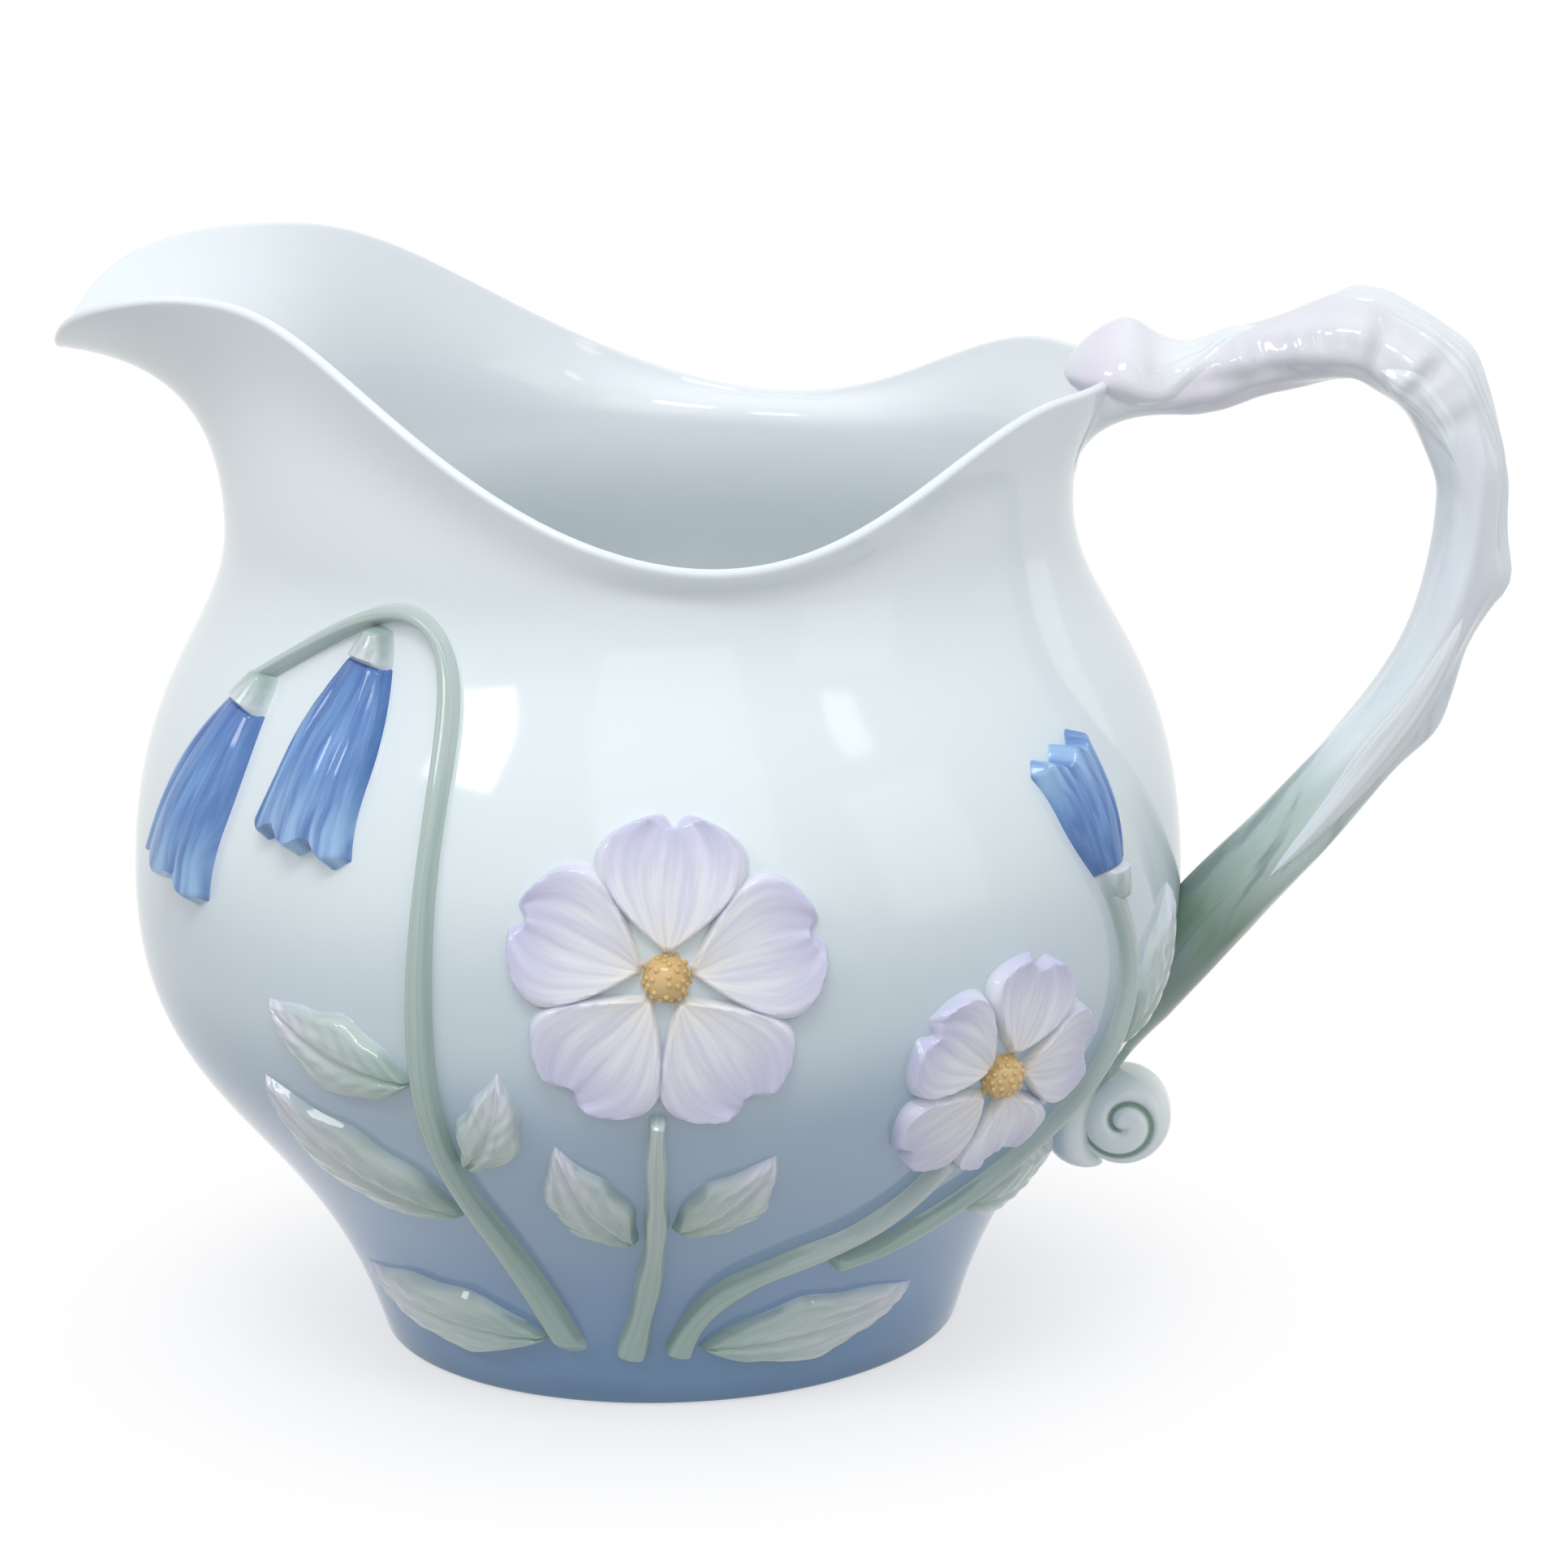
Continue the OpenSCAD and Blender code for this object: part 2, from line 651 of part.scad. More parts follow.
body_shell();
foot_ring();
handle_stem();
handle_scroll();
rim_petal();
for (k = [0 : len(sheaths) - 1])
    handle_sheath(k);
for (k = [0 : len(stalks) - 1])
    stalk(k);
for (k = [0 : len(leaves) - 1])
    leaf(k);
for (k = [0 : len(bells) - 1]) {
    bell(k);
    bell_cap(k);
}
for (k = [0 : len(blossoms) - 1]) {
    blossom_petals(k);
    blossom_eye(k);
}
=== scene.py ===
# %% [markdown]
# # A cream jug with an applied flower spray
# The object is a small porcelain jug with a wide pouring lip and a handle that is modelled like a twig.
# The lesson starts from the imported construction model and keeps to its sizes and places.
# Each step then makes one kind of piece with more detail than the construction model carries.

# %% The frame
import math
import bmesh
import bpy
import numpy as np
from mathutils import Matrix, Vector


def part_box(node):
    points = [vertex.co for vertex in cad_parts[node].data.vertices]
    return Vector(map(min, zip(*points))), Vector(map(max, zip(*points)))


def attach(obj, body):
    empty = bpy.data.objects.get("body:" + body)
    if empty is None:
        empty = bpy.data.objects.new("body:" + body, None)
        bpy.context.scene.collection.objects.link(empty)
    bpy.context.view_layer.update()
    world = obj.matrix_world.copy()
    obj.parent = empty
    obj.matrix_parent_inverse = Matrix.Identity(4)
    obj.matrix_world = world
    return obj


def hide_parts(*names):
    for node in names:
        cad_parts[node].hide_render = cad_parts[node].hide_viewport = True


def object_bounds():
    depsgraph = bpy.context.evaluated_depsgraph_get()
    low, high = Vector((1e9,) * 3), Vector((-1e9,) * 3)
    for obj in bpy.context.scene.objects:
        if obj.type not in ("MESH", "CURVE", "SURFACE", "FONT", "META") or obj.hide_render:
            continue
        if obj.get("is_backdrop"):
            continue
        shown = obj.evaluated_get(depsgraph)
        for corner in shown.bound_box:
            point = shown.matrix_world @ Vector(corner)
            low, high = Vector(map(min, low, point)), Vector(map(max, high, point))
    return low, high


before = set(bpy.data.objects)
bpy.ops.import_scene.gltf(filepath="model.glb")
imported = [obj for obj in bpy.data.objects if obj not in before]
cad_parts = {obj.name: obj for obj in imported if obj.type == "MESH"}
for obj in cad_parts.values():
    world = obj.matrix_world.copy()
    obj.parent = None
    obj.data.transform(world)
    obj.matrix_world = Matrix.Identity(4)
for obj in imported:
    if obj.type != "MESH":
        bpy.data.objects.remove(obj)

scene = bpy.context.scene
cad_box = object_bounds()
MM = 0.001


def in_mm(values):
    return [round(v / MM, 1) for v in values]


print("construction model from", in_mm(cad_box[0]), "to", in_mm(cad_box[1]))

# %% [markdown]
# ## The camera
# The view is that of a long lens a little above the rim, turned slightly toward the handle.
# Three angles and a distance are easier to adjust than a typed matrix, so the matrix is worked out from them.

# %% Camera
view_turn = math.radians(2.803)
view_height = math.radians(14.923)
view_roll = math.radians(-1.353)
view_target = Vector((13.09, 0, 56.49)) * MM
view_distance = 650 * MM
view_lens = 145.34
toward = Vector((-math.sin(view_turn) * math.cos(view_height), math.cos(view_turn) * math.cos(view_height),
                 -math.sin(view_height)))
level = Vector((math.cos(view_turn), math.sin(view_turn), 0))
above = level.cross(toward)
right = math.cos(view_roll) * level + math.sin(view_roll) * above
up = right.cross(toward)
camera = bpy.data.objects.new("camera", bpy.data.cameras.new("camera"))
camera.data.sensor_width = 36
camera.data.lens = view_lens
camera.data.clip_start = 50 * MM
camera.matrix_world = Matrix((right, up, -toward)).transposed().to_4x4()
camera.location = view_target - view_distance * toward
scene.collection.objects.link(camera)
scene.camera = camera
print("camera at", in_mm(camera.location), "mm")

# %% [markdown]
# ## Node helpers
# Shader and geometry trees are easier to read when one short call makes a node and wires it.
# A socket or a plain number may be given for each input, so a formula reads from left to right.


# %% Node helpers
def colour(red, green, blue):
    """A colour given as it looks on a screen, turned into the linear values that shading uses."""
    shares = [v / 255 for v in (red, green, blue)]
    return tuple(v / 12.92 if v <= 0.04045 else ((v + 0.055) / 1.055) ** 2.4 for v in shares) + (1.0,)


def wire(tree, node, inputs):
    """Wires or sets a node's inputs by name or number."""
    for key, value in inputs.items():
        if isinstance(value, bpy.types.NodeSocket):
            tree.links.new(value, node.inputs[key])
        else:
            node.inputs[key].default_value = value


def add(tree, kind, inputs=None, **settings):
    """Makes a node, sets its properties and wires it."""
    node = tree.nodes.new(kind)
    for key, value in settings.items():
        setattr(node, key, value)
    wire(tree, node, inputs or {})
    return node


def sums(tree, operation, *values, clamp=False):
    """A Math node of one, two or three values."""
    node = add(tree, "ShaderNodeMath", dict(enumerate(values)), operation=operation, use_clamp=clamp)
    return node.outputs[0]


def blend(tree, share, first, second):
    """A Mix node of two colours."""
    return add(tree, "ShaderNodeMix", {0: share, 6: first, 7: second}, data_type="RGBA").outputs[2]


def fade(tree, value, low, high):
    """0 below low, 1 above high and a soft rise between them."""
    node = add(tree, "ShaderNodeMapRange", {"Value": value, "From Min": low, "From Max": high},
               interpolation_type="SMOOTHSTEP")
    return node.outputs[0]


def ramp(tree, value, stops):
    """A colour that changes along a value; each stop is a place and a colour as it looks on a screen."""
    node = add(tree, "ShaderNodeValToRGB", {0: value})
    node.color_ramp.interpolation = "EASE"
    for place, *shade in stops[1:-1]:
        node.color_ramp.elements.new(place).color = colour(*shade)
    for end in (0, -1):
        place, *shade = stops[end]
        node.color_ramp.elements[end].position = place
        node.color_ramp.elements[end].color = colour(*shade)
    return node.outputs[0]


def noise(tree, place, scale, detail):
    return add(tree, "ShaderNodeTexNoise", {"Vector": place, "Scale": scale, "Detail": detail}).outputs["Fac"]


def group(name, inputs, outputs, family="ShaderNodeTree"):
    """An empty node group with named sockets; returns the tree, its input node and its output node."""
    tree = bpy.data.node_groups.new(name, family)
    for label, kind, *value in inputs:
        socket = tree.interface.new_socket(name=label, in_out="INPUT", socket_type=kind)
        if value:
            socket.default_value = value[0]
    for label, kind in outputs:
        tree.interface.new_socket(name=label, in_out="OUTPUT", socket_type=kind)
    return tree, tree.nodes.new("NodeGroupInput"), tree.nodes.new("NodeGroupOutput")


FLOAT = "NodeSocketFloat"
COLOUR = "NodeSocketColor"
VECTOR = "NodeSocketVector"
print("helpers ready")

# %% [markdown]
# ## The ground colour of the glaze
# On the real jug a colour is sprayed under the clear glaze: steel blue at the foot, which thins out to a pale
# cool white on the belly. The ramp is darker on the lower belly than the spray alone would be: that part is
# painted shade, standing in for the shade under the belly. A height along the object is all that this
# follows, so the group reads the Object coordinate and sends its height through a colour ramp. A little noise
# moves the height, as a spray never ends on a clean line.

# %% Ground colour
spray_and_shade_height = 110 * MM
ground_tree, ground_in, ground_out = group("ground_glaze", [("Drift", FLOAT, 6 * MM)], [("Color", COLOUR)])
place = add(ground_tree, "ShaderNodeTexCoord").outputs["Object"]
height = add(ground_tree, "ShaderNodeSeparateXYZ", {0: place}).outputs["Z"]
cloud = noise(ground_tree, place, 38.0, 3.0)
shift = sums(ground_tree, "MULTIPLY", sums(ground_tree, "SUBTRACT", cloud, 0.5), ground_in.outputs["Drift"])
share = sums(ground_tree, "DIVIDE", sums(ground_tree, "ADD", height, shift), spray_and_shade_height)
# Real blue spray and painted shade in one ramp: the middle and low stops are darker than the spray, for the
# shade under the belly.
spray_and_shade_ramp = ramp(ground_tree, share, [
    (0.0, 102, 132, 164), (0.035, 116, 148, 182), (0.10, 134, 162, 195), (0.20, 150, 175, 202),
    (0.30, 168, 189, 208), (0.42, 204, 217, 224), (0.56, 226, 236, 238), (1.0, 235, 242, 245)])
wire(ground_tree, ground_out, {"Color": spray_and_shade_ramp})
print("ground_glaze:", len(ground_tree.nodes), "nodes")

# %% [markdown]
# ## The skin of the glaze
# Fired glaze is a smooth glass, but it is not dead flat: it has a faint orange-peel swell and small changes
# in gloss. Both come from two noises, kept in one group so that every material shows the same glass.

# %% Glaze skin
skin_tree, skin_in, skin_out = group(
    "glaze_skin", [("Gloss", FLOAT, 0.06), ("Swell", FLOAT, 0.03)],
    [("Roughness", FLOAT), ("Normal", VECTOR)])
place = add(skin_tree, "ShaderNodeTexCoord").outputs["Object"]
swell = noise(skin_tree, place, 95.0, 2.0)
breath = noise(skin_tree, place, 240.0, 2.0)
bump = add(skin_tree, "ShaderNodeBump", {
    "Strength": skin_in.outputs["Swell"], "Distance": MM, "Height": swell})
rough = sums(skin_tree, "MULTIPLY_ADD", breath, 0.05, skin_in.outputs["Gloss"])
wire(skin_tree, skin_out, {"Roughness": rough, "Normal": bump.outputs[0]})
print("glaze_skin:", len(skin_tree.nodes), "nodes")

# %% [markdown]
# ## Painted strokes
# The flowers are painted by hand with a soft brush, stroke beside stroke, along each petal or leaf.
# Petals, leaves and stalks carry an attribute called lay: how far along it a point lies, how far across it,
# and how deep inside its edge. A noise that is stretched along the piece then reads as brush strokes,
# and the edge value lets the paint thin out into the ground colour.

# %% Painted strokes
stroke_tree, stroke_in, stroke_out = group(
    "brush_strokes", [("Strokes", FLOAT, 9.0), ("Length", FLOAT, 1.6)],
    [("Along", FLOAT), ("Edge", FLOAT), ("Stroke", FLOAT)])
lay = add(stroke_tree, "ShaderNodeAttribute", attribute_name="lay").outputs["Vector"]
parts = add(stroke_tree, "ShaderNodeSeparateXYZ", {0: lay})
spot = add(stroke_tree, "ShaderNodeTexCoord").outputs["Object"]
shake = noise(stroke_tree, spot, 160.0, 1.0)
beside = sums(stroke_tree, "MULTIPLY", parts.outputs["Y"], stroke_in.outputs["Strokes"])
beside = sums(stroke_tree, "ADD", beside, shake)
further = sums(stroke_tree, "MULTIPLY", parts.outputs["X"], stroke_in.outputs["Length"])
grain = add(stroke_tree, "ShaderNodeCombineXYZ", {0: beside, 1: further})
streak = noise(stroke_tree, grain.outputs[0], 1.0, 3.0)
stroke = fade(stroke_tree, streak, 0.32, 0.68)
wire(stroke_tree, stroke_out, {"Along": parts.outputs["X"], "Edge": parts.outputs["Z"], "Stroke": stroke})
print("brush_strokes:", len(stroke_tree.nodes), "nodes")

# %% [markdown]
# ## The glazes
# All glazes share one recipe: a painted colour under clear, glossy glass. Only the paint differs.
# The first function wires the ground, the paint and the skin into one Principled shader; each material then
# passes in a small function that mixes its own paint. Petals, leaves and bells are all brushed in one way.


# %% Glazes
def glaze(name, paint, gloss=0.06, swell=0.03, strokes=9.0, length=1.6):
    """A glossy material whose colour is paint(tree, ground colour, stroke group's outputs)."""
    material = bpy.data.materials.new(name)
    material.use_nodes = True
    tree = material.node_tree
    shader = tree.nodes["Principled BSDF"]
    ground = add(tree, "ShaderNodeGroup", node_tree=ground_tree).outputs["Color"]
    brush = add(tree, "ShaderNodeGroup", {"Strokes": strokes, "Length": length}, node_tree=stroke_tree)
    skin = add(tree, "ShaderNodeGroup", {"Gloss": gloss, "Swell": swell}, node_tree=skin_tree)
    wire(tree, shader, {"Base Color": paint(tree, ground, brush.outputs), "IOR": 1.5,
                        "Roughness": skin.outputs["Roughness"], "Normal": skin.outputs["Normal"]})
    return material


def paint_ground(tree, ground, brush):
    return ground


def paint_body(tree, ground, brush):
    # Painted light: past the rim the inside is painted lighter the deeper it lies, to lift the shade down in
    # the jug.
    well = ramp(tree, brush["Along"], [(0.0, 226, 233, 235), (0.4, 231, 238, 240), (1.0, 242, 247, 247)])
    return blend(tree, brush["Edge"], ground, well)


def brushed(stops, depth, dark, edge):
    """A paint that changes along a piece, with darker strokes, and thins out into the ground at its edge."""
    def paint(tree, ground, brush):
        body = ramp(tree, brush["Along"], stops)
        strokes = blend(tree, sums(tree, "MULTIPLY", brush["Stroke"], depth), body, colour(*dark))
        return blend(tree, fade(tree, brush["Edge"], 0.0, edge), ground, strokes)

    return paint


paint_lilac = brushed([(0.0, 240, 236, 222), (0.4, 235, 236, 240), (1.0, 206, 206, 232)],
                      depth=0.45, dark=(186, 188, 220), edge=0.45)
paint_leaf = brushed([(0.0, 164, 186, 176), (0.45, 198, 210, 206), (1.0, 226, 223, 238)],
                     depth=0.5, dark=(144, 170, 166), edge=0.5)
paint_bell = brushed([(0.0, 92, 132, 190), (0.55, 120, 164, 216), (1.0, 160, 196, 232)],
                     depth=0.8, dark=(66, 102, 170), edge=0.22)


def paint_eye(tree, ground, brush):
    return blend(tree, brush["Stroke"], colour(222, 194, 138), colour(198, 158, 96))


def paint_branch(tree, ground, brush):
    # The last stop, on the toe and the curl, is partly their own pale green-white and partly painted light
    # that lifts the shade under the handle.
    body = ramp(tree, brush["Along"], [
        (0.0, 222, 218, 230), (0.16, 222, 221, 228), (0.3, 224, 227, 229), (0.5, 225, 231, 237),
        (0.64, 226, 237, 241), (0.7, 190, 209, 202), (0.77, 106, 135, 113), (0.88, 126, 153, 138),
        (1.0, 236, 245, 243)])
    drawn = fade(tree, brush["Stroke"], 0.5, 1.0)
    for low, high in ((0.55, 0.76), (1.0, 0.9)):
        drawn = sums(tree, "MULTIPLY", drawn, fade(tree, brush["Along"], low, high))
    lined = blend(tree, sums(tree, "MULTIPLY", drawn, 0.75), body, colour(98, 126, 112))
    tinted = blend(tree, sums(tree, "MULTIPLY", brush["Stroke"], 0.14), lined, colour(196, 198, 220))
    pooled = blend(tree, fade(tree, brush["Edge"], 0.0, 0.6), colour(132, 160, 146), tinted)
    return blend(tree, fade(tree, brush["Along"], 0.008, 0.07), ground, pooled)


def paint_sheath(tree, ground, brush):
    body = ramp(tree, brush["Along"], [
        (0.0, 226, 220, 233), (0.3, 226, 227, 232), (0.55, 228, 234, 236), (1.0, 228, 237, 243)])
    further = fade(tree, brush["Along"], 0.3, 0.6)
    fine = sums(tree, "MULTIPLY", fade(tree, brush["Stroke"], 0.62, 1.0), further)
    lined = blend(tree, sums(tree, "MULTIPLY", fine, 0.2), body, colour(150, 166, 164))
    return blend(tree, fade(tree, brush["Edge"], 0.0, 0.8), colour(224, 229, 234), lined)


recipes = {
    "pale_glaze": dict(paint=paint_body, gloss=0.07, swell=0.02),
    "foot_glaze": dict(paint=paint_ground, gloss=0.05),
    "branch_glaze": dict(paint=paint_branch, strokes=11.0, length=13.0),
    "lilac_glaze": dict(paint=paint_lilac, strokes=16.0, length=1.2),
    "sheath_glaze": dict(paint=paint_sheath, gloss=0.05, strokes=22.0, length=1.2),
    "leaf_glaze": dict(paint=paint_leaf, strokes=8.0, length=2.4),
    "bell_glaze": dict(paint=paint_bell, strokes=10.0, length=1.5),
    "eye_glaze": dict(paint=paint_eye, gloss=0.1),
}
glazes = {name: glaze(name, **recipe) for name, recipe in recipes.items()}
print("glazes:", ", ".join(glazes))

# %% [markdown]
# ## Light and floor
# A glossy jug shows its lamps. A softbox at the front left makes the window-like highlight on the belly,
# a weaker one at the right makes its twin, and dim ones light the front, the right side and its far edge.
# A bright lamp stands so high that the steep wall can't mirror it; only relief, rim and handle sparkle.
# The world is brighter overhead, so that light falls into the jug without a hard reflection.
# Seen straight on or mirrored it is white, and the floor keeps only the soft shadow near the foot.
# Each row of the lamps is a name, a direction, a distance, a width, a height and a radiance.

# %% Light and floor
lamps = [
    ("window_box", (-0.63, -0.49, 0.575), 0.95, 0.29, 0.15, 8.0),
    ("front_box", (0.16, -0.84, 0.5), 1.2, 0.9, 0.6, 0.82),
    ("spark_box", (-0.05, -0.57, 0.81), 0.95, 0.40, 0.20, 8.5),
    ("edge_box", (0.84, 0.52, 0.05), 0.95, 0.2, 0.9, 0.55),
    ("side_box", (0.88, -0.40, 0.25), 1.2, 0.5, 0.7, 0.75),
    ("fill_box", (0.70, -0.34, 0.62), 0.95, 0.12, 0.09, 3.0),
]
sky_level = 0.375
sky_overhead = 0.63
sky_tint = (0.955, 0.975, 1.03, 1)
plain_white = (1, 1, 1, 1)
floor_reach = 4.0
floor_drop = 0.2 * MM
floor_bounce = 0.52
shadow_near = 30 * MM
shadow_far = 75 * MM
shadow_share = 0.38


def softbox(name, direction, distance, wide, tall, radiance):
    """A rectangular lamp that faces the jug; its power follows from how bright it should look."""
    lamp = bpy.data.lights.new(name, "AREA")
    lamp.shape = "RECTANGLE"
    lamp.size = wide
    lamp.size_y = tall
    lamp.energy = radiance * math.pi * wide * tall
    holder = bpy.data.objects.new(name, lamp)
    aim = Vector(direction).normalized()
    holder.location = view_target + aim * distance
    holder.rotation_euler = aim.to_track_quat("Z", "Y").to_euler()
    scene.collection.objects.link(holder)


def white_to(tree):
    """1 for rays from the camera and for mirrored or refracted ones, which all see a white background."""
    path = add(tree, "ShaderNodeLightPath").outputs
    through = sums(tree, "ADD", path["Is Glossy Ray"], path["Is Transmission Ray"], clamp=True)
    return sums(tree, "ADD", path["Is Camera Ray"], through, clamp=True)


for lamp in lamps:
    softbox(*lamp)

world = bpy.data.worlds.new("even_light")
world.use_nodes = True
scene.world = world
sky = world.node_tree
direction = add(sky, "ShaderNodeTexCoord").outputs["Generated"]
overhead = fade(sky, add(sky, "ShaderNodeSeparateXYZ", {0: direction}).outputs["Z"], 0.15, 0.95)
strength = sums(sky, "MULTIPLY_ADD", overhead, sky_overhead, sky_level)
lit = add(sky, "ShaderNodeBackground", {"Color": sky_tint, "Strength": strength})
white = add(sky, "ShaderNodeBackground", {"Color": plain_white, "Strength": 1.0})
both = add(sky, "ShaderNodeMixShader", {0: white_to(sky), 1: lit.outputs[0], 2: white.outputs[0]})
wire(sky, sky.nodes["World Output"], {"Surface": both.outputs[0]})

floor_mesh = bpy.data.meshes.new("floor")
floor_corners = np.array([(-1, -1, 0), (1, -1, 0), (1, 1, 0), (-1, 1, 0)]) * floor_reach
floor_mesh.from_pydata(floor_corners.tolist(), [], [(0, 1, 2, 3)])
floor = bpy.data.objects.new("floor", floor_mesh)
floor.location.z = -floor_drop
scene.collection.objects.link(floor)
floor_look = bpy.data.materials.new("floor_look")
floor_look.use_nodes = True
tree = floor_look.node_tree
shader = tree.nodes["Principled BSDF"]
wire(tree, shader, {"Base Color": (0.90, 0.905, 0.93, 1), "Roughness": 0.55, "Specular IOR Level": 0.2})
place = add(tree, "ShaderNodeTexCoord").outputs["Object"]
from_middle = add(tree, "ShaderNodeVectorMath", {0: place}, operation="LENGTH").outputs["Value"]
clear = fade(tree, from_middle, shadow_near, shadow_far)
far_off = sums(tree, "MULTIPLY_ADD", clear, shadow_share, 1 - shadow_share)
strength = sums(tree, "MULTIPLY_ADD", white_to(tree), 1 - floor_bounce, floor_bounce)
glow = add(tree, "ShaderNodeEmission", {"Color": plain_white, "Strength": strength})
cover = add(tree, "ShaderNodeMixShader", {0: far_off, 1: shader.outputs[0], 2: glow.outputs[0]})
wire(tree, tree.nodes["Material Output"], {"Surface": cover.outputs[0]})
floor_mesh.materials.append(floor_look)
floor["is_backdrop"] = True
scene.view_settings.view_transform = "Standard"
print(len(lamps), "softboxes, an even world and a floor")

# %% [markdown]
# ## Meshes from rows of points
# A piece that is modelled point by point is either a skin through a stack of rings, or a closed sheet with
# a top and an underside. Short functions turn rows of points into such meshes, so the steps below only have
# to say where points lie.

# %% Meshes from rows of points
pieces = []
crease = math.radians(50)


def turn_out(mesh, weld=0.0):
    """Joins points that lie closer than weld, turns all faces outward and keeps sharp corners sharp."""
    shell = bmesh.new()
    shell.from_mesh(mesh)
    if weld:
        bmesh.ops.remove_doubles(shell, verts=shell.verts, dist=weld)
    bmesh.ops.recalc_face_normals(shell, faces=shell.faces)
    shell.to_mesh(mesh)
    shell.free()
    mesh.set_sharp_from_angle(angle=crease)


def settle(piece, node):
    """Links a finished piece, rides it on the one body and hides the construction node it stands for."""
    if piece.name not in scene.collection.objects:
        scene.collection.objects.link(piece)
    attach(piece, "root")
    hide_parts(node)
    pieces.append(piece)
    return piece


def keep(name, points, faces, slot, lay, finish=None):
    """Makes a smooth piece from points in millimetres, rides it on the one body and gives it its glaze."""
    mesh = bpy.data.meshes.new(name)
    mesh.from_pydata((np.asarray(points) * MM).tolist(), [], faces)
    mesh.attributes.new("lay", "FLOAT_VECTOR", "POINT").data.foreach_set("vector", np.ravel(lay))
    mesh.shade_smooth()
    turn_out(mesh)
    mesh.materials.append(glazes[finish or slot])
    settle(bpy.data.objects.new(name + "_look", mesh), name)


def loft_faces(rows, columns):
    """Quads between rings, and a fan to a middle point at each end."""
    count = rows * columns
    faces = []
    for j in range(columns):
        k = (j + 1) % columns
        faces.append((count, k, j))
        faces.append((count + 1, count - columns + j, count - columns + k))
        for i in range(0, count - columns, columns):
            faces.append((i + j, i + k, i + columns + k, i + columns + j))
    return faces


def sheet_faces(rows, columns, start):
    """A closed sheet: the top grid, the grid under it and the strip round their edge."""
    faces = []
    under = rows * columns
    for i in range(rows - 1):
        for j in range(columns - 1):
            a = start + i * columns + j
            quad = (a, a + 1, a + columns + 1, a + columns)
            faces.append(quad)
            faces.append(tuple(v + under for v in reversed(quad)))
    edge = list(range(columns))
    edge += [i * columns + columns - 1 for i in range(1, rows)]
    edge += [(rows - 1) * columns + j for j in range(columns - 2, -1, -1)]
    edge += [i * columns for i in range(rows - 2, 0, -1)]
    for n, a in enumerate(edge):
        b = edge[(n + 1) % len(edge)]
        faces.append((start + b, start + a, start + a + under, start + b + under))
    return faces


def keep_sheets(name, sheets, slot, finish=None):
    """One piece from several sheets, each a top grid, an underside grid and the lay values of the top."""
    points, faces, lays = [], [], []
    for top, under, lay in sheets:
        faces += sheet_faces(top.shape[0], top.shape[1], sum(len(p) for p in points))
        points += [top.reshape(-1, 3), under.reshape(-1, 3)]
        lays += [lay.reshape(-1, 3), lay.reshape(-1, 3) * (1, 1, 0)]
    keep(name, np.vstack(points), faces, slot, np.vstack(lays), finish)


print("mesh helpers ready")

# %% [markdown]
# ## Curves in plain numbers
# The shapes below are written as formulas of a few soft curves, with angles in degrees.


# %% Curves in plain numbers
def sin(angle):
    return np.sin(np.radians(angle))


def cos(angle):
    return np.cos(np.radians(angle))


def mix(first, second, share):
    return first + (second - first) * share


def soft(value):
    """A rise from 0 to 1 that starts and ends level."""
    t = np.clip(value, 0, 1)
    return t * t * (3 - 2 * t)


def swing(value):
    """The same kind of rise, as half a wave."""
    return (1 - np.cos(np.pi * np.clip(value, 0, 1))) / 2


def hump(value, width):
    """1 where the value is 0, sinking softly to 0 on both sides."""
    return np.exp(-(value / width) ** 2)


def bezier(points, t):
    a, b, c, d = (np.asarray(p, float) for p in points)
    t = np.asarray(t, float)[..., None]
    return (1 - t) ** 3 * a + 3 * (1 - t) ** 2 * t * b + 3 * (1 - t) * t * t * c + t ** 3 * d


print("curves ready")

# %% [markdown]
# ## The outline of the body
# The body was thrown or cast: one outline, turned round, makes foot, belly and neck. Four shallow flutes then
# draw the neck in. The same outline is measured along its climb, so that later pieces can be laid on the wall
# as if on a flat drawing: an azimuth round the jug and a distance up the wall.

# %% Outline of the body
foot_r = 29.8
foot_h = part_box("foot_ring")[1].z / MM
foot_slope = 16
belly_r = 53.7
belly_z = 48.2
neck_r = 43.1
neck_z = 85.7
neck_flute = 2.0
wall = 2.4
floor_z = 7.0
outline_steps = 240
neck_rise = neck_z - belly_z
straight = 0.53 * belly_z
foot_side = foot_r + straight * math.tan(math.radians(foot_slope))
lower = [(foot_r, 0), (foot_side, straight), (belly_r, 0.55 * belly_z), (belly_r, belly_z)]
upper = [(belly_r, belly_z), (belly_r, belly_z + 0.6 * neck_rise), (neck_r, neck_z - 0.3 * neck_rise),
         (neck_r, neck_z)]
steps = np.arange(outline_steps + 1) / outline_steps
outline = np.vstack([bezier(lower, steps[:-1]), bezier(upper, steps)])
climbs = np.concatenate([[0], np.cumsum(np.linalg.norm(np.diff(outline, axis=0), axis=1))])
slopes = np.gradient(outline, axis=0)
leans = np.degrees(np.arctan2(-slopes[:, 0], slopes[:, 1]))
belly_climb = climbs[outline_steps]
neck_climb = climbs[-1]
foot_climb = np.interp(foot_h, outline[:, 1], climbs)


def flute(azimuth, share):
    return neck_flute * (1 - cos(4 * azimuth)) / 2 * swing(share)


def radius_at(climb):
    return np.interp(climb, climbs, outline[:, 0])


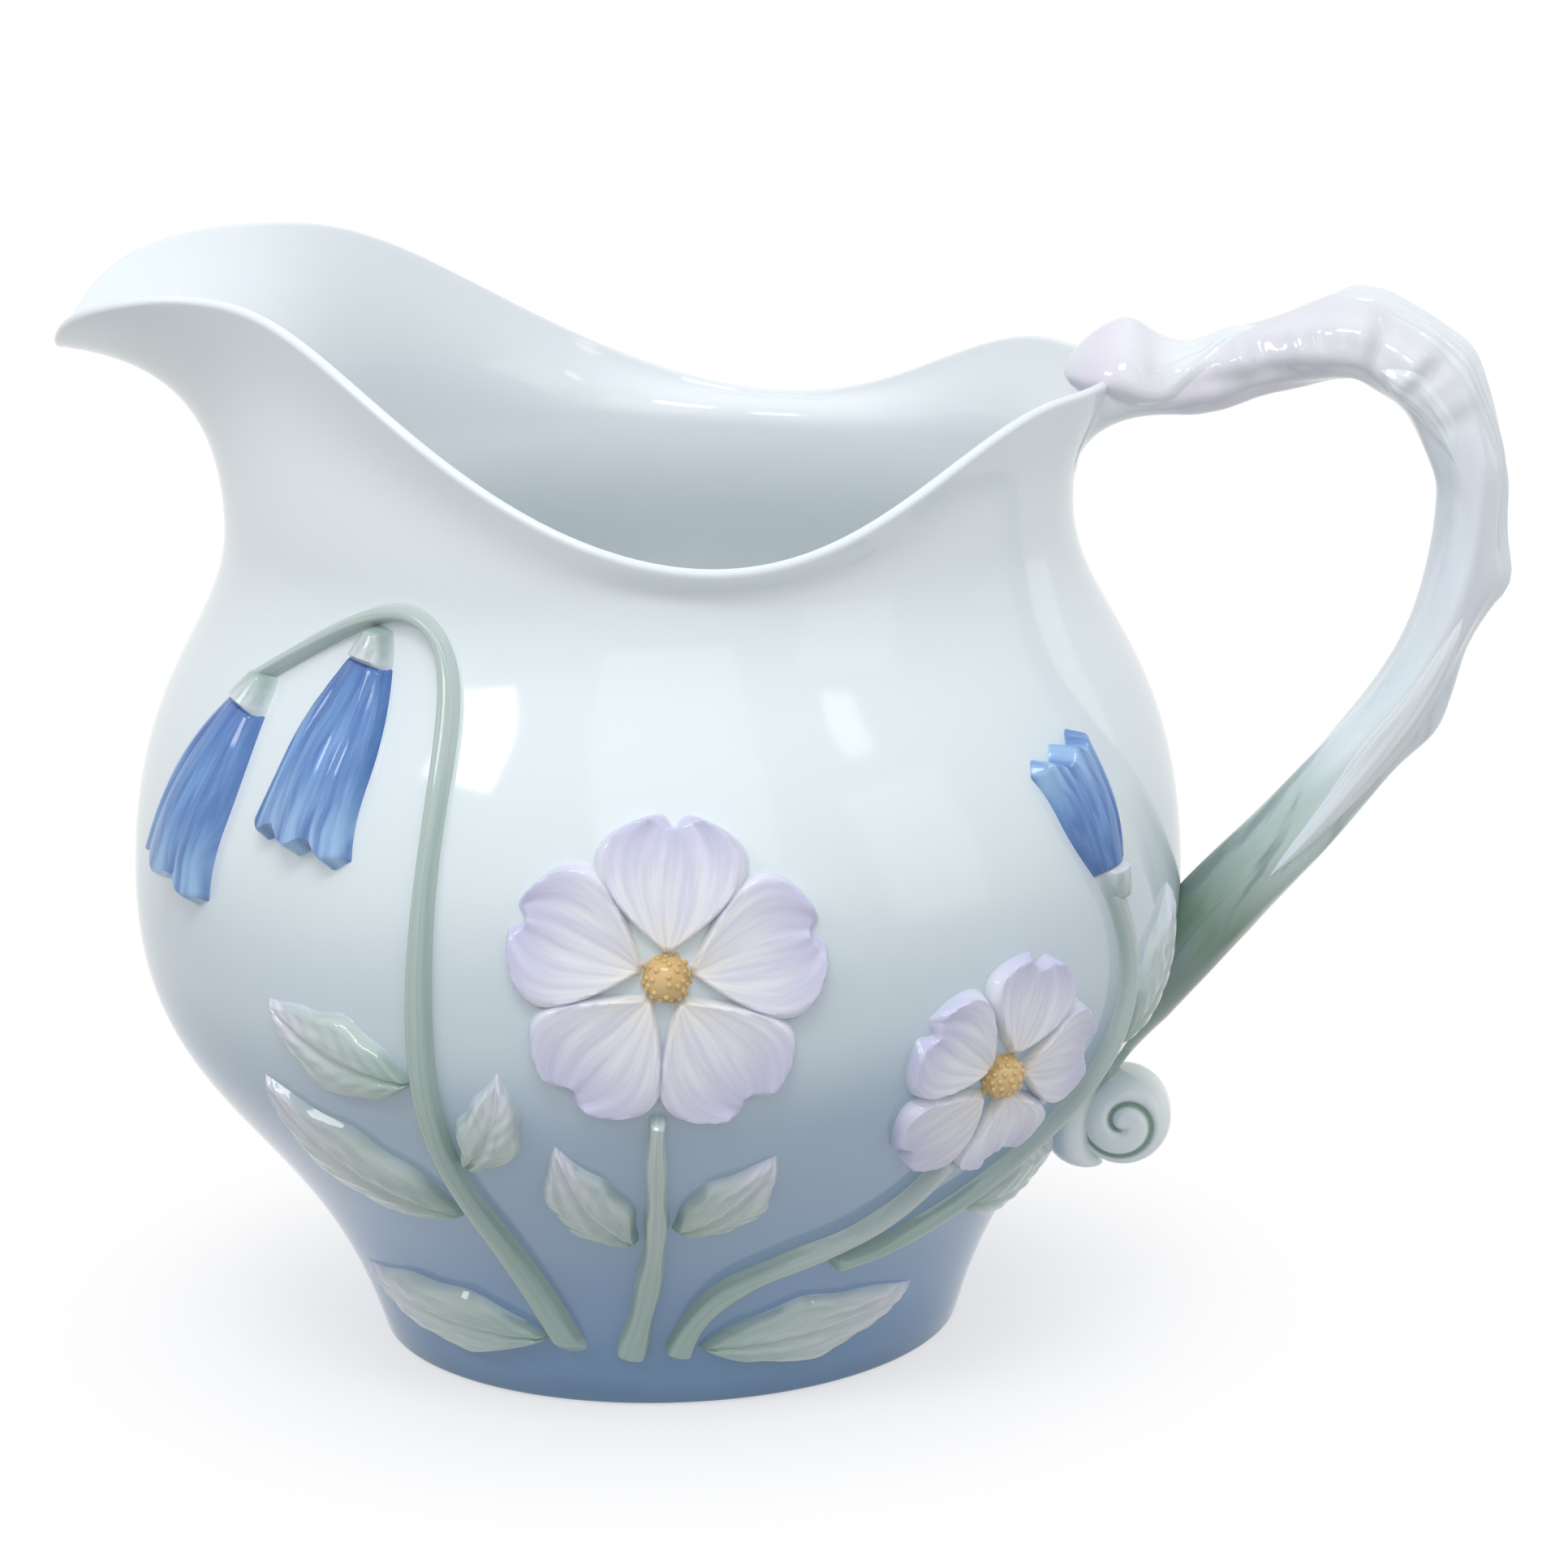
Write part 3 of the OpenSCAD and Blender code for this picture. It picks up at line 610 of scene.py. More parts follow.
def wall_point(azimuth, climb, lift=0.0):
    """A point on the outer wall, raised from it by lift."""
    lean = np.interp(climb, climbs, leans)
    share = (climb - belly_climb) / (neck_climb - belly_climb)
    r = radius_at(climb) - flute(azimuth, share) + lift * cos(lean)
    z = np.interp(climb, climbs, outline[:, 1]) + lift * sin(lean)
    return np.stack([r * sin(azimuth), -r * cos(azimuth), z + 0 * r], -1)


print("outline climbs", round(neck_climb, 1), "mm from the table to the neck")

# %% [markdown]
# ## Rim and pouring lip
# Above the neck the wall flares out. The rim is low at the two sides, rises to the handle, and rises further
# into two shoulders with the pouring lip drawn out between them. All of it depends only on the angle
# from the lip, so one curve from neck to rim can be written for every azimuth.

# %% Rim and pouring lip
spout_out = 15.8
spout_spread = 23.0
spout_slope = 8
rim_flare = 2.0
rim_slope = 65
heel_out = 4.4
heel_spread = 16.0
lip_rise = 17.8
shoulder_rise = 25.4
side_rise = 2.6
heel_rise = 13.0
shoulder_turn = 25
side_turn = 105
heel_turn = 160


def from_spout(azimuth):
    return np.abs((azimuth + 270) % 360 - 180)


def spout_share(turn):
    far = turn / spout_spread
    return (1 - 0.12 * np.clip(far ** 2, 0, 1)) / (1 + far ** 6)


def neck_radius(azimuth):
    return neck_r - flute(azimuth, 1.0)


def rim_radius(azimuth):
    turn = from_spout(azimuth)
    heel_share = 1 / (1 + ((180 - turn) / heel_spread) ** 4)
    drawn = (spout_out - rim_flare) * spout_share(turn) + (heel_out - rim_flare) * heel_share
    return neck_radius(azimuth) + rim_flare + drawn


def rim_height(azimuth):
    turn = from_spout(azimuth)
    lip = mix(lip_rise, shoulder_rise, swing(turn / shoulder_turn))
    side = mix(shoulder_rise, side_rise, swing((turn - shoulder_turn) / (side_turn - shoulder_turn)))
    heel = mix(side_rise, heel_rise, swing((turn - side_turn) / (heel_turn - side_turn)))
    return neck_z + np.where(turn < shoulder_turn, lip, np.where(turn < side_turn, side, heel))


def flare_point(azimuth, t):
    """A point between the neck (t = 0) and the rim (t = 1)."""
    low = np.stack([neck_radius(azimuth), neck_z + 0 * azimuth], -1)
    high = np.stack([rim_radius(azimuth), rim_height(azimuth)], -1)
    pull = 0.45 * np.linalg.norm(high - low, axis=-1, keepdims=True)
    slope = mix(rim_slope, spout_slope, spout_share(from_spout(azimuth)))
    tangent = np.stack([cos(slope), sin(slope)], -1)
    p = bezier([low, low + pull * (0, 1), high - pull * tangent, high], np.full(azimuth.shape, t))
    return np.stack([p[..., 0] * sin(azimuth), -p[..., 0] * cos(azimuth), p[..., 1]], -1)


rim_line = rim_height(np.arange(360.0))
print("rim from", round(rim_line.min(), 1), "to", round(rim_line.max(), 1), "mm")

# %% [markdown]
# ## The body shell
# The shell is one skin: up the outside, over a rounded rim, and down the inside to a filleted floor.
# The inside is the outside moved in along its normals. Near the rim the wall is pared down,
# because the eye judges porcelain by how thin its edge is.

# %% Body shell
columns = 288
wall_rows = 84
flare_rows = 40
rim_pare = 1.3
pare_from = 0.72
pare_full = 0.99
well_round = 5.0
azimuths = np.arange(columns) * 360 / columns
grid = [wall_point(azimuths, climb) for climb in np.linspace(foot_climb, neck_climb, wall_rows)]
grid += [flare_point(azimuths, t) for t in np.linspace(0, 1, flare_rows + 1)[1:]]
outer = np.array(grid)
around = np.roll(outer, -1, axis=1) - np.roll(outer, 1, axis=1)
upward = np.gradient(outer, axis=0)
normals = np.cross(around, upward)
normals /= np.linalg.norm(normals, axis=-1, keepdims=True)
row_share = np.arange(len(outer)) / (len(outer) - 1)
thick = wall - rim_pare * soft((row_share - pare_from) / (pare_full - pare_from))
inner = outer - normals * thick[:, None, None]
edge_up = upward[-1] / np.linalg.norm(upward[-1], axis=-1, keepdims=True)
middle = (outer[-1] + inner[-1]) / 2
half_lip = thick[-1] / 2
lip = []
for angle in np.linspace(0, 180, 11)[1:-1]:
    lip.append(middle + half_lip * (cos(angle) * normals[-1] + sin(angle) * edge_up))
well = []
for ring in inner[::-1]:
    depth = floor_z + well_round - ring[:, 2]
    eased = floor_z + well_round * np.exp(-np.clip(depth, 0, None) / well_round)
    well.append(np.stack([ring[:, 0], ring[:, 1], np.where(depth > 0, eased, ring[:, 2])], -1))
last = well[-1]
floor_rings = []
for share in np.linspace(1, 0, 12)[1:-1]:
    settled = mix(floor_z, last[:, 2], share ** 3)
    floor_rings.append(np.stack([last[:, 0] * share, last[:, 1] * share, settled], -1))
base_rings = [outer[0] * (share, share, 1) for share in (0.3, 0.6, 0.86)]
rings = np.concatenate([base_rings, outer, lip, well, floor_rings])
points = np.vstack([rings.reshape(-1, 3), [[0, 0, foot_h]], [[0, 0, floor_z]]])
first_inside = len(base_rings) + len(outer)
past_rim = np.arange(len(rings)) - first_inside
# Past the rim, the first lay value says how deep a point lies inside; the body glaze uses it to paint the
# inside lighter, as painted light.
lays = np.zeros((len(points), 3))
lays[:-2, 0] = np.repeat(np.clip(past_rim / (len(rings) - first_inside), 0, 1), columns)
lays[:-2, 2] = np.repeat(soft(past_rim / len(lip)), columns)
lays[-1] = (1, 0, 1)
keep("body_shell", points, loft_faces(len(rings), columns), "pale_glaze", lays)
print("body shell:", len(rings), "rings of", columns, "points")

# %% [markdown]
# ## The foot ring
# The foot is turned, so a Geometry Nodes tree makes it as a potter's rib would: a section with four corners,
# two of them rounded off, is swept round a circle. The section's sizes are named inputs.

# %% Foot ring
foot_wall = 3.4
foot_round = 0.8
weld = 1e-4 * MM


def geometry_tree(name, inputs):
    """A group that changes geometry, with more named inputs."""
    shape = ("Geometry", "NodeSocketGeometry")
    return group(name, [shape, *inputs], [shape], "GeometryNodeTree")


def end_tree(tree, made, out, slot):
    """Realizes the result, shades it smooth and gives it its glaze."""
    plain = add(tree, "GeometryNodeRealizeInstances", {0: made})
    smooth = add(tree, "GeometryNodeSetShadeSmooth", {0: plain.outputs[0]})
    painted = add(tree, "GeometryNodeSetMaterial", {0: smooth.outputs[0], "Material": glazes[slot]})
    wire(tree, out, {0: painted.outputs[0]})


def grow(node, tree, values, start=None):
    """Runs a geometry tree once and keeps its result as a plain mesh."""
    name = node + "_look"
    piece = bpy.data.objects.new(name, start or bpy.data.meshes.new(name))
    scene.collection.objects.link(piece)
    modifier = piece.modifiers.new("grow", "NODES")
    modifier.node_group = tree
    for item in tree.interface.items_tree:
        if item.item_type == "SOCKET" and item.in_out == "INPUT" and item.name in values:
            modifier[item.identifier] = values[item.name]
    view = bpy.context.evaluated_depsgraph_get()
    made = bpy.data.meshes.new_from_object(piece.evaluated_get(view))
    piece.modifiers.clear()
    piece.data = made
    turn_out(made, weld)
    return settle(piece, node)


foot_top = float(np.interp(foot_h, outline[:, 1], outline[:, 0]))
path_r = foot_r - foot_wall / 2
foot_corners = {"Low Outside": (foot_r, 0.0), "High Outside": (foot_top, foot_h),
                "High Inside": (foot_top - foot_wall, foot_h), "Low Inside": (foot_r - foot_wall, 0.0)}
foot_tree, foot_in, foot_out = geometry_tree("turned_foot", [
    ("Path Radius", FLOAT), *((label, VECTOR) for label in foot_corners), ("Rounding", FLOAT)])
corners = {"Point %d" % n: foot_in.outputs[label] for n, label in enumerate(foot_corners, 1)}
section = add(foot_tree, "GeometryNodeCurvePrimitiveQuadrilateral", corners, mode="POINTS")
index = add(foot_tree, "GeometryNodeInputIndex").outputs[0]
from_middle = sums(foot_tree, "ABSOLUTE", sums(foot_tree, "SUBTRACT", index, 1.5))
low_corner = sums(foot_tree, "GREATER_THAN", from_middle, 1.0)
rounding = sums(foot_tree, "MULTIPLY", low_corner, foot_in.outputs["Rounding"])
rounded = add(foot_tree, "GeometryNodeFilletCurve", {
    "Curve": section.outputs[0], "Count": 6, "Radius": rounding}, mode="POLY")
turn = add(foot_tree, "GeometryNodeCurvePrimitiveCircle", {
    "Resolution": columns, "Radius": foot_in.outputs["Path Radius"]})
swept = add(foot_tree, "GeometryNodeCurveToMesh", {
    "Curve": turn.outputs[0], "Profile Curve": rounded.outputs[0]})
end_tree(foot_tree, swept.outputs[0], foot_out, "foot_glaze")
foot_sizes = {"Path Radius": path_r * MM, "Rounding": foot_round * MM}
for label, (r, z) in foot_corners.items():
    foot_sizes[label] = ((r - path_r) * MM, -z * MM, 0.0)
foot = grow("foot_ring", foot_tree, foot_sizes)
reach = in_mm(max(v.co[axis] for v in foot.data.vertices) for axis in range(3))
print("foot ring reaches", reach, "and has", len(foot.data.polygons), "faces")

# %% [markdown]
# ## The line of the handle
# The handle leaves the rim, arches over, drops down the outside and comes back to the belly, where it ends
# in a curl. Five places and the heading at each give its middle line, with a Bezier piece between each two.

# %% Line of the handle
heel = np.array([float(rim_radius(np.array(90.0))), float(rim_height(np.array(90.0)))])
scroll_r = 5.3
scroll_z = 21.0
scroll_gap = 0.3
scroll_climb = float(np.interp(scroll_z, outline[:, 1], climbs))
scroll_lean = float(np.interp(scroll_climb, climbs, leans))
scroll_mid = np.array([radius_at(scroll_climb) + (scroll_r + scroll_gap) / cos(scroll_lean), scroll_z])


def along(angle):
    return np.array([cos(angle), sin(angle)])


stem_points = [heel + (0.6, -0.8), heel + (23, 3.2), np.array([belly_r + 29.4, heel[1] - 13]),
               np.array([belly_r + 4.2, 43.5]), scroll_mid + (scroll_r + 1) * along(200)]
stem_angles = [-8, 0, -90, 229, 270]
stem_end = len(stem_points) - 1
stem_pull = 0.37
stem_curves = []
for k in range(stem_end):
    a, b = stem_points[k], stem_points[k + 1]
    pull = stem_pull * np.linalg.norm(b - a)
    stem_curves.append([a, a + pull * along(stem_angles[k]), b - pull * along(stem_angles[k + 1]), b])


def stem_middle(q):
    """The middle line in the plane of the handle; q runs from 0 at the rim to stem_end at the curl."""
    q = np.asarray(q, float)
    k = np.clip(np.floor(q), 0, stem_end - 1).astype(int)
    line = np.zeros(q.shape + (2,))
    for piece in range(stem_end):
        line = np.where((k == piece)[..., None], bezier(stem_curves[piece], q - piece), line)
    return line


print("handle line from", stem_points[0].round(1), "to", stem_points[-1].round(1), "mm")

# %% [markdown]
# ## The skin of the handle
# The handle is rolled like a twig: three soft lobes turn slowly round it, with finer ridges along them,
# a few knuckles on its outer side and shallow ripples on the front of its arch.
# Each ring across it is an oval whose half sizes change along the way. One formula gives every point,
# so that the petals of a later step can be laid on it.

# %% Skin of the handle
stem_wide = 4.8
thick_at = [0, 0.35, 1, 2, 2.5, 3, 3.4, 4]
thick_half = [4.1, 3.4, 4.1, 3.4, 3.3, 4.2, 4.3, 2.6]
broad_at = [0, 0.6, 3, 3.5, 4]
broad_share = [1.35, 1, 1, 1.05, 0.85]
knuckles = [(1.03, 0.12, 0.6), (1.45, 0.08, 0.5), (2.15, 0.06, 1.5), (2.3, 0.06, -0.5), (2.47, 0.07, 1.0)]
lap_over = 0.215
lap_start = -0.2148


def twig_lobes(q, turn):
    """How much the lobes, ridges, knots and ripples swell the oval; plain near both ends."""
    shown = np.clip(q / 0.5, 0, 1) * np.clip((3.4 - q) / 0.6, 0, 1)
    lobes = 1 + shown * (0.07 * cos(3 * turn - 290 * q) + 0.025 * cos(8 * turn - 520 * q + 40))
    knots = 0.04 * np.sin(5.3 * q + 1) + 0.035 * np.sin(13.7 * q + 0.02 * turn)
    wave = 25 * q + 0.6
    ripples = 0.1 * (np.sin(wave) - 0.35 * np.sin(2 * wave)) * np.clip(sin(turn + 15), 0, 1) ** 4
    return lobes * (1 + shown * (knots + ripples * soft((1.8 - q) / 0.5)))


def stem_skin(q, turn, lift=0.0):
    """A point of the handle's surface; turn 0 is its outer side and 90 its front."""
    q = np.asarray(q, float)
    ahead = stem_middle(np.clip(q + 0.01, -0.3, stem_end)) - stem_middle(np.clip(q - 0.01, -0.3, stem_end))
    heading = np.degrees(np.arctan2(ahead[..., 1], ahead[..., 0]))
    round_end = np.sqrt(np.clip(1 - (np.minimum(q, 0) / lap_over) ** 2, 0.002, 1))
    half = np.interp(q, thick_at, thick_half) * round_end
    wide = stem_wide * np.interp(q, broad_at, broad_share) * round_end
    lobes = twig_lobes(q, turn)
    raised = sum(high * hump(q - place, width) for place, width, high in knuckles)
    hollow = 1.1 * hump(q - 0.13, 0.14) * np.clip(-cos(turn), 0, 1)
    lift = lift * round_end
    across = (half * lobes + lift + raised * np.clip(cos(turn), 0, 1) ** 1.5 - hollow) * cos(turn)
    side = -(wide * lobes + lift) * sin(turn)
    p = stem_middle(q)
    x = p[..., 0] + across * cos(heading + 90)
    z = p[..., 1] + across * sin(heading + 90)
    return np.stack([x, side + 0 * x, z], -1)


print("handle skin ready, with", len(knuckles), "knuckles")

# %% [markdown]
# ## The handle
# The rings of the handle are strung along its line. Where it meets the neck they spread out on a quarter
# circle, as a wet finger smooths such a joint. Where it comes back to the belly they stay out of the hollow.

# %% Handle
sides = 64
free_from = 0.16
root_rings = 14
root_spread = 1.15
root_drop = 7.0
root_sink = 0.9
toe_rings = 7
toe_in = 2.6
toe_drop = 3.4
wall_sink = 1.2


def out_of_wall(points):
    """Points that lie deep in the body's wall, moved out to just under its surface."""
    least = np.interp(points[..., 2], outline[:, 1], outline[:, 0]) - wall_sink
    stretch = np.maximum(1, least / np.hypot(points[..., 0], points[..., 1]))
    return points * np.stack([stretch, stretch, np.ones_like(stretch)], -1)


turns = np.arange(sides) * 360 / sides
stations = np.linspace(free_from, stem_end, 240)
stem_rings = [stem_skin(np.full(sides, q), turns) for q in stations]
wall_line = outer[:, columns // 4]
x, y, z = stem_rings[0].T
under = np.clip(-cos(turns), 0, 1) ** 1.5
over = np.clip(z - heel[1], 0, None)
wall_y = y * root_spread
wall_z = z - root_drop * under
r = np.interp(wall_z, wall_line[:, 2], wall_line[:, 0])
wall_x = np.sqrt(r * r - wall_y ** 2) - 0.05 - 1.2 * soft(over / 1.5)
for share in np.linspace(0, 1, root_rings + 1)[1:]:
    spread = 1 - math.sqrt(1 - share * share)
    ring = [mix(x, wall_x, share), mix(y, wall_y, spread), mix(z, wall_z - 0.8 * over, spread)]
    stem_rings.insert(0, np.stack(ring, -1))
stem_rings.insert(0, stem_rings[0] - (root_sink, 0, 0))
toe = stem_rings[-1]
toe_middle = toe.mean(0)
for share in np.linspace(0, 1, toe_rings + 2)[1:-1]:
    shift = np.array([toe_in * (1 - cos(90 * share)), 0, -toe_drop * sin(90 * share)])
    stem_rings.append(toe_middle + shift + (toe - toe_middle) * math.sqrt(1 - share * share))
stem_rings = np.array(stem_rings)
lower_half = len(stem_rings) // 2
stem_rings[lower_half:] = out_of_wall(stem_rings[lower_half:])
root_places = np.linspace(0, free_from, root_rings + 1)[:-1]
places = np.concatenate([[0], root_places, stations, np.full(toe_rings, stem_end)])[:, None]
stem_lay = np.ones((len(places), sides, 3))
stem_lay[..., 0] = places / stem_end
stem_lay[..., 1] = turns / 360 + places * 0.3
points = np.vstack([stem_rings.reshape(-1, 3), stem_rings[0].mean(0), stem_rings[-1].mean(0)])
lays = np.vstack([stem_lay.reshape(-1, 3), (0, 0, 1), (1, 0, 1)])
keep("handle_stem", points, loft_faces(len(stem_rings), sides), "branch_glaze", lays)
print("handle:", len(stem_rings), "rings of", sides, "points")

# %% [markdown]
# ## The curl under the handle
# The lower end of the twig is rolled up like a snail and fired to one knob, grooved on both faces.
# A groove is a height that depends on radius and angle together: one turn on, it lies one pitch further in.

# %% Curl
knob_sides = 96
knob_half = 4.5
knob_r = 0.94 * scroll_r
knob_mid = scroll_mid + (-0.4, -0.2)
knob_power = 3.4
groove_deep = 0.75
groove_wide = 0.5
groove_start = 120
pitch = 3.2
knob_turns = np.arange(knob_sides) * 360 / knob_sides
front = []
knob_show = []
for share in np.sin(np.linspace(0, np.pi / 2, 40)[1:]):
    r = knob_r * share
    swell = (1 - share ** knob_power) ** (1 / knob_power)
    phase = (r - knob_r) / pitch + (knob_turns - groove_start) / 360
    from_groove = np.abs((phase + 0.5) % 1 - 0.5) * pitch
    shown = hump(from_groove, groove_wide) * soft(share * 5) * soft((1 - share) * 6)
    front.append(np.stack([knob_mid[0] + r * cos(knob_turns), groove_deep * shown - knob_half * swell,
                           knob_mid[1] + r * sin(knob_turns)], -1))
    knob_show.append(1 - shown)
back = [ring * (1, -1, 1) for ring in front[-2::-1]]
knob = np.array(front + back)
poles = [(knob_mid[0], -knob_half, knob_mid[1]), (knob_mid[0], knob_half, knob_mid[1])]
knob_points = np.vstack([knob.reshape(-1, 3), poles])
# A first lay value of 1 gives the curl the branch paint's last stop, which is partly painted light.
knob_lay = np.tile((1.0, 0.5, 1.0), (len(knob_points), 1))
knob_lay[:-2, 2] = np.ravel(knob_show + knob_show[-2::-1])
keep("handle_scroll", knob_points, loft_faces(len(knob), knob_sides), "branch_glaze", knob_lay)
print("curl:", len(knob), "rings round", knob_mid.round(1))

# %% [markdown]
# ## Petals on the handle
# Long soft petals are wrapped round the upper handle, and one laps over the rim where the handle starts.
# They are laid on the same surface formula as the handle, a little higher, and their edges sink into it.

# %% Petals on the handle
petal_rows = 84
petal_columns = 37
petal_sink = 0.4
petal_root = 1.2


def leaf_shape(t):
    return np.maximum(0.08, np.abs(np.sin(np.pi * t ** 0.85)) ** 1.1)


def lap_shape(t):
    return 1 - 0.96 * soft((t - 0.35) / 0.65)


def lap_rise(t, side):
    """High where the petal bends over the rim and low along the handle."""
    return 0.5 + 2.3 * (1 - 0.7 * np.abs(side)) * hump(np.clip(t - 0.21, 0, 1), 0.17)


def sheath_rise(high):
    """A low dome along a handle petal."""
    return lambda t, side: 0.2 + high * np.sin(np.pi * t ** 0.7) * (1 - side ** 2)


def wrap(name, start, end, turn, half, shape, barb, rise, point=8, tone=0.35):
    """A petal on the handle between two places, round the line at one turn."""
    t = np.linspace(0, 1, petal_rows)[:, None] ** 1.4
    side = np.linspace(-1, 1, petal_columns)[None, :]
    q = start + (end - start) * t + 0 * side
    reach = half * shape(t) * (1 + 0.06 * np.sin(17 * t + turn))
    spread = np.degrees(reach * side / stem_wide)
    inside = soft((1 - np.abs(side)) * reach / 2.6) * soft(t * point + (point == 0)) * soft((1 - t) * 9)
    ridges = barb * np.cos(2 * np.pi * (3.6 * side + 1.1 * t)) * (1 - np.abs(side)) ** 0.5
    lift = (rise(t, side) + ridges) * inside - petal_sink * (1 - inside)
    top = stem_skin(q, turn + spread, lift)
    under = stem_skin(q, turn + spread, 0 * lift - petal_root)
    deep = np.minimum((1 - np.abs(side)) * reach / 1.6, np.minimum(t, 1 - t) * 12)
    lay = np.stack([tone + (1 - tone) * t + 0 * side, side * 0.5 + 0 * t, np.clip(deep, 0, 1)], -1)
    keep_sheets(name, [(top, under, lay)], "lilac_glaze", "sheath_glaze")


wrap("rim_petal", lap_start, 0.8, 8, 8.6, lap_shape, 0.0, lap_rise, point=0, tone=0.0)
wraps = [(0.85, 2.35, 0, 5.2, 0.1, 0.7), (1.1, 1.95, 110, 3.6, 0.04, 0.4), (2.15, 3.0, 75, 4.0, 0.03, 0.6)]
for k, (start, end, turn, half, barb, high) in enumerate(wraps, 1):
    wrap("handle_sheath_%d" % k, start, end, turn, half, leaf_shape, barb, sheath_rise(high))
print("one rim petal and", len(wraps), "handle petals")

# %% [markdown]
# ## Laying relief on the wall
# Applied flowers are pressed in small moulds and stuck on with slip, so each lies on the wall as a cushion.
# A piece is drawn on the unrolled wall: a start, a heading, a bend, a length and a half width.
# Its height comes from a relief formula, and its edge sinks a little into the wall, as slip fills the joint.

# %% Relief on the wall
slip_sink = 0.35
slip_root = 0.8
edge_round = 1.1
edge_paint = 1.6


def moved(place, right_by, up_by):
    """A place on the wall moved by a step that is measured along the wall."""
    climb = place[1] + up_by
    return place[0] + np.degrees(right_by / radius_at(climb)), climb


def stepped(place, heading, reach):
    """A place on the wall moved some way along a heading."""
    return moved(place, reach * cos(heading), reach * sin(heading))


def laid(place, lift, lay):
    """A sheet on the wall: its top, an underside in the wall, and its lay values."""
    return wall_point(*place, lift), wall_point(*place, 0 * lift - slip_root), lay


def relief_sheet(start, heading, bend, length, half, shape, relief, rows, across, push=None):
    """A sheet on the wall along a bending line; relief and push take how far along and how far across."""
    t = np.linspace(0, 1, rows)[:, None]
    side = np.linspace(-1, 1, across)[None, :]
    turned = heading + bend * t
    dense = np.linspace(0, 1, 201)
    headings = heading + bend * dense
    run = np.cumsum(np.stack([cos(headings), sin(headings)], -1), axis=0) * length / len(dense)
    line_x = np.interp(t, dense, run[:, 0] - run[0, 0])
    line_y = np.interp(t, dense, run[:, 1] - run[0, 1])
    reach = half * shape(t)
    ahead = push(t, side) if push else 0.0
    x = line_x + reach * side * cos(turned + 90) + ahead * cos(turned)
    y = line_y + reach * side * sin(turned + 90) + ahead * sin(turned)
    rim = np.minimum((1 - np.abs(side)) * reach, np.minimum(t, 1 - t) * length)
    inside = soft(rim / edge_round)
    lift = relief(t, side) * inside - slip_sink * (1 - inside)
    lay = np.stack([t + 0 * side, side * 0.5 + 0 * t, np.clip(rim / edge_paint, 0, 1)], -1)
    return laid(moved(start, x, y), lift, lay)


print("relief is sunk", slip_sink, "mm into the wall at its edges")

# %% [markdown]
# ## Stalks
# A stalk is a thin roll of clay that tapers upward. It follows a curve on the unrolled wall,
# and its section is half round. Leaves and flowers find their places by the stalk that carries them.
# A row of the table holds four places, each an azimuth and a climb, and the half width at both ends.

# %% Stalks
stalks = [
    ([(-13, 6), (-38, 46), (4, 116), (-52, 84)], 1.6, 0.9),
    ([(-4, 6), (4, 20), (2, 32), (3, 42.5)], 1.6, 1.1),
    ([(4.5, 6), (12, 24), (34, 16), (39, 31)], 1.5, 1.1),
    ([(31, 18.4), (48, 20), (72, 34), (60, 58)], 1.1, 0.9),
    ([(180, 6), (188, 20), (182, 32), (183, 42.5)], 1.6, 1.1),
    ([(171.5, 6), (162, 22), (140, 26), (138, 48)], 1.3, 0.9),
    ([(188.5, 6), (198, 24), (218, 18), (223, 33)], 1.4, 1.0),
]
blossoms = [(1, 16), (2, 13), (4, 15), (6, 12)]
under_blossom = [stalk for stalk, reach in blossoms]
side_shoots = [3]
stem_gap = 0.6


def stalk_place(k, t):
    return bezier(stalks[k][0], np.asarray(t, float))


def stalk_half(k, t):
    return mix(stalks[k][1], stalks[k][2], t)


def stalk_heading(k, t):
    low = stalk_place(k, max(0.0, t - 0.02))
    high = stalk_place(k, min(1.0, t + 0.02))
    r = float(radius_at(stalk_place(k, t)[1]))
    return math.degrees(math.atan2(high[1] - low[1], math.radians(high[0] - low[0]) * r))


def stalk_side(k, t, heading, half):
    """Where a piece starts beside a stalk."""
    turn = heading - stalk_heading(k, t)
    reach = (stalk_half(k, t) + stem_gap + half * abs(cos(turn))) / max(0.4, abs(sin(turn)))
    return stepped(stalk_place(k, t), heading, reach - 1.2)


def stalk_end(k, heading, half):
    """Where a piece starts beyond a stalk's end."""
    ahead = stalk_heading(k, 1.0)
    return stepped(stalk_place(k, 1.0), ahead, stem_gap + half * abs(sin(heading - ahead)) - 1.0)


for k in range(len(stalks)):
    first = -0.05 if k in side_shoots else 0.0
    final = 1.06 if k in under_blossom else 1.035
    t = np.linspace(first, final, 120)[:, None]
    side = np.linspace(-1, 1, 17)[None, :]
    line = stalk_place(k, t[:, 0])
    headings = np.array([stalk_heading(k, min(max(v, 0.0), 1.0)) for v in t[:, 0]])[:, None]
    reach = stalk_half(k, t) * (1 + 0.08 * np.sin(23 * t + k))
    inside = soft((1 - np.abs(side)) * reach / 0.5) * soft(np.minimum(t - first, final - t) * 40)
    lift = (0.5 + 1.2 * np.sqrt(np.clip(1 - side ** 2, 0, 1))) * inside - slip_sink * (1 - inside)
    lay = np.stack([t * 0.5 + 0 * side, side * 0.5 + 0 * reach, np.clip(inside + 0.3, 0, 1)], -1)
    place = stepped((line[:, :1], line[:, 1:]), headings + 90, reach * side)
    keep_sheets("stalk_%d" % (k + 1), [laid(place, lift, lay)], "leaf_glaze")
print(len(stalks), "stalks")

# %% [markdown]
# ## Leaves
# Leaves are long and pointed, with a groove along the middle and fine side veins that the mould presses in.
# Their edges wave a little, so no two look alike.

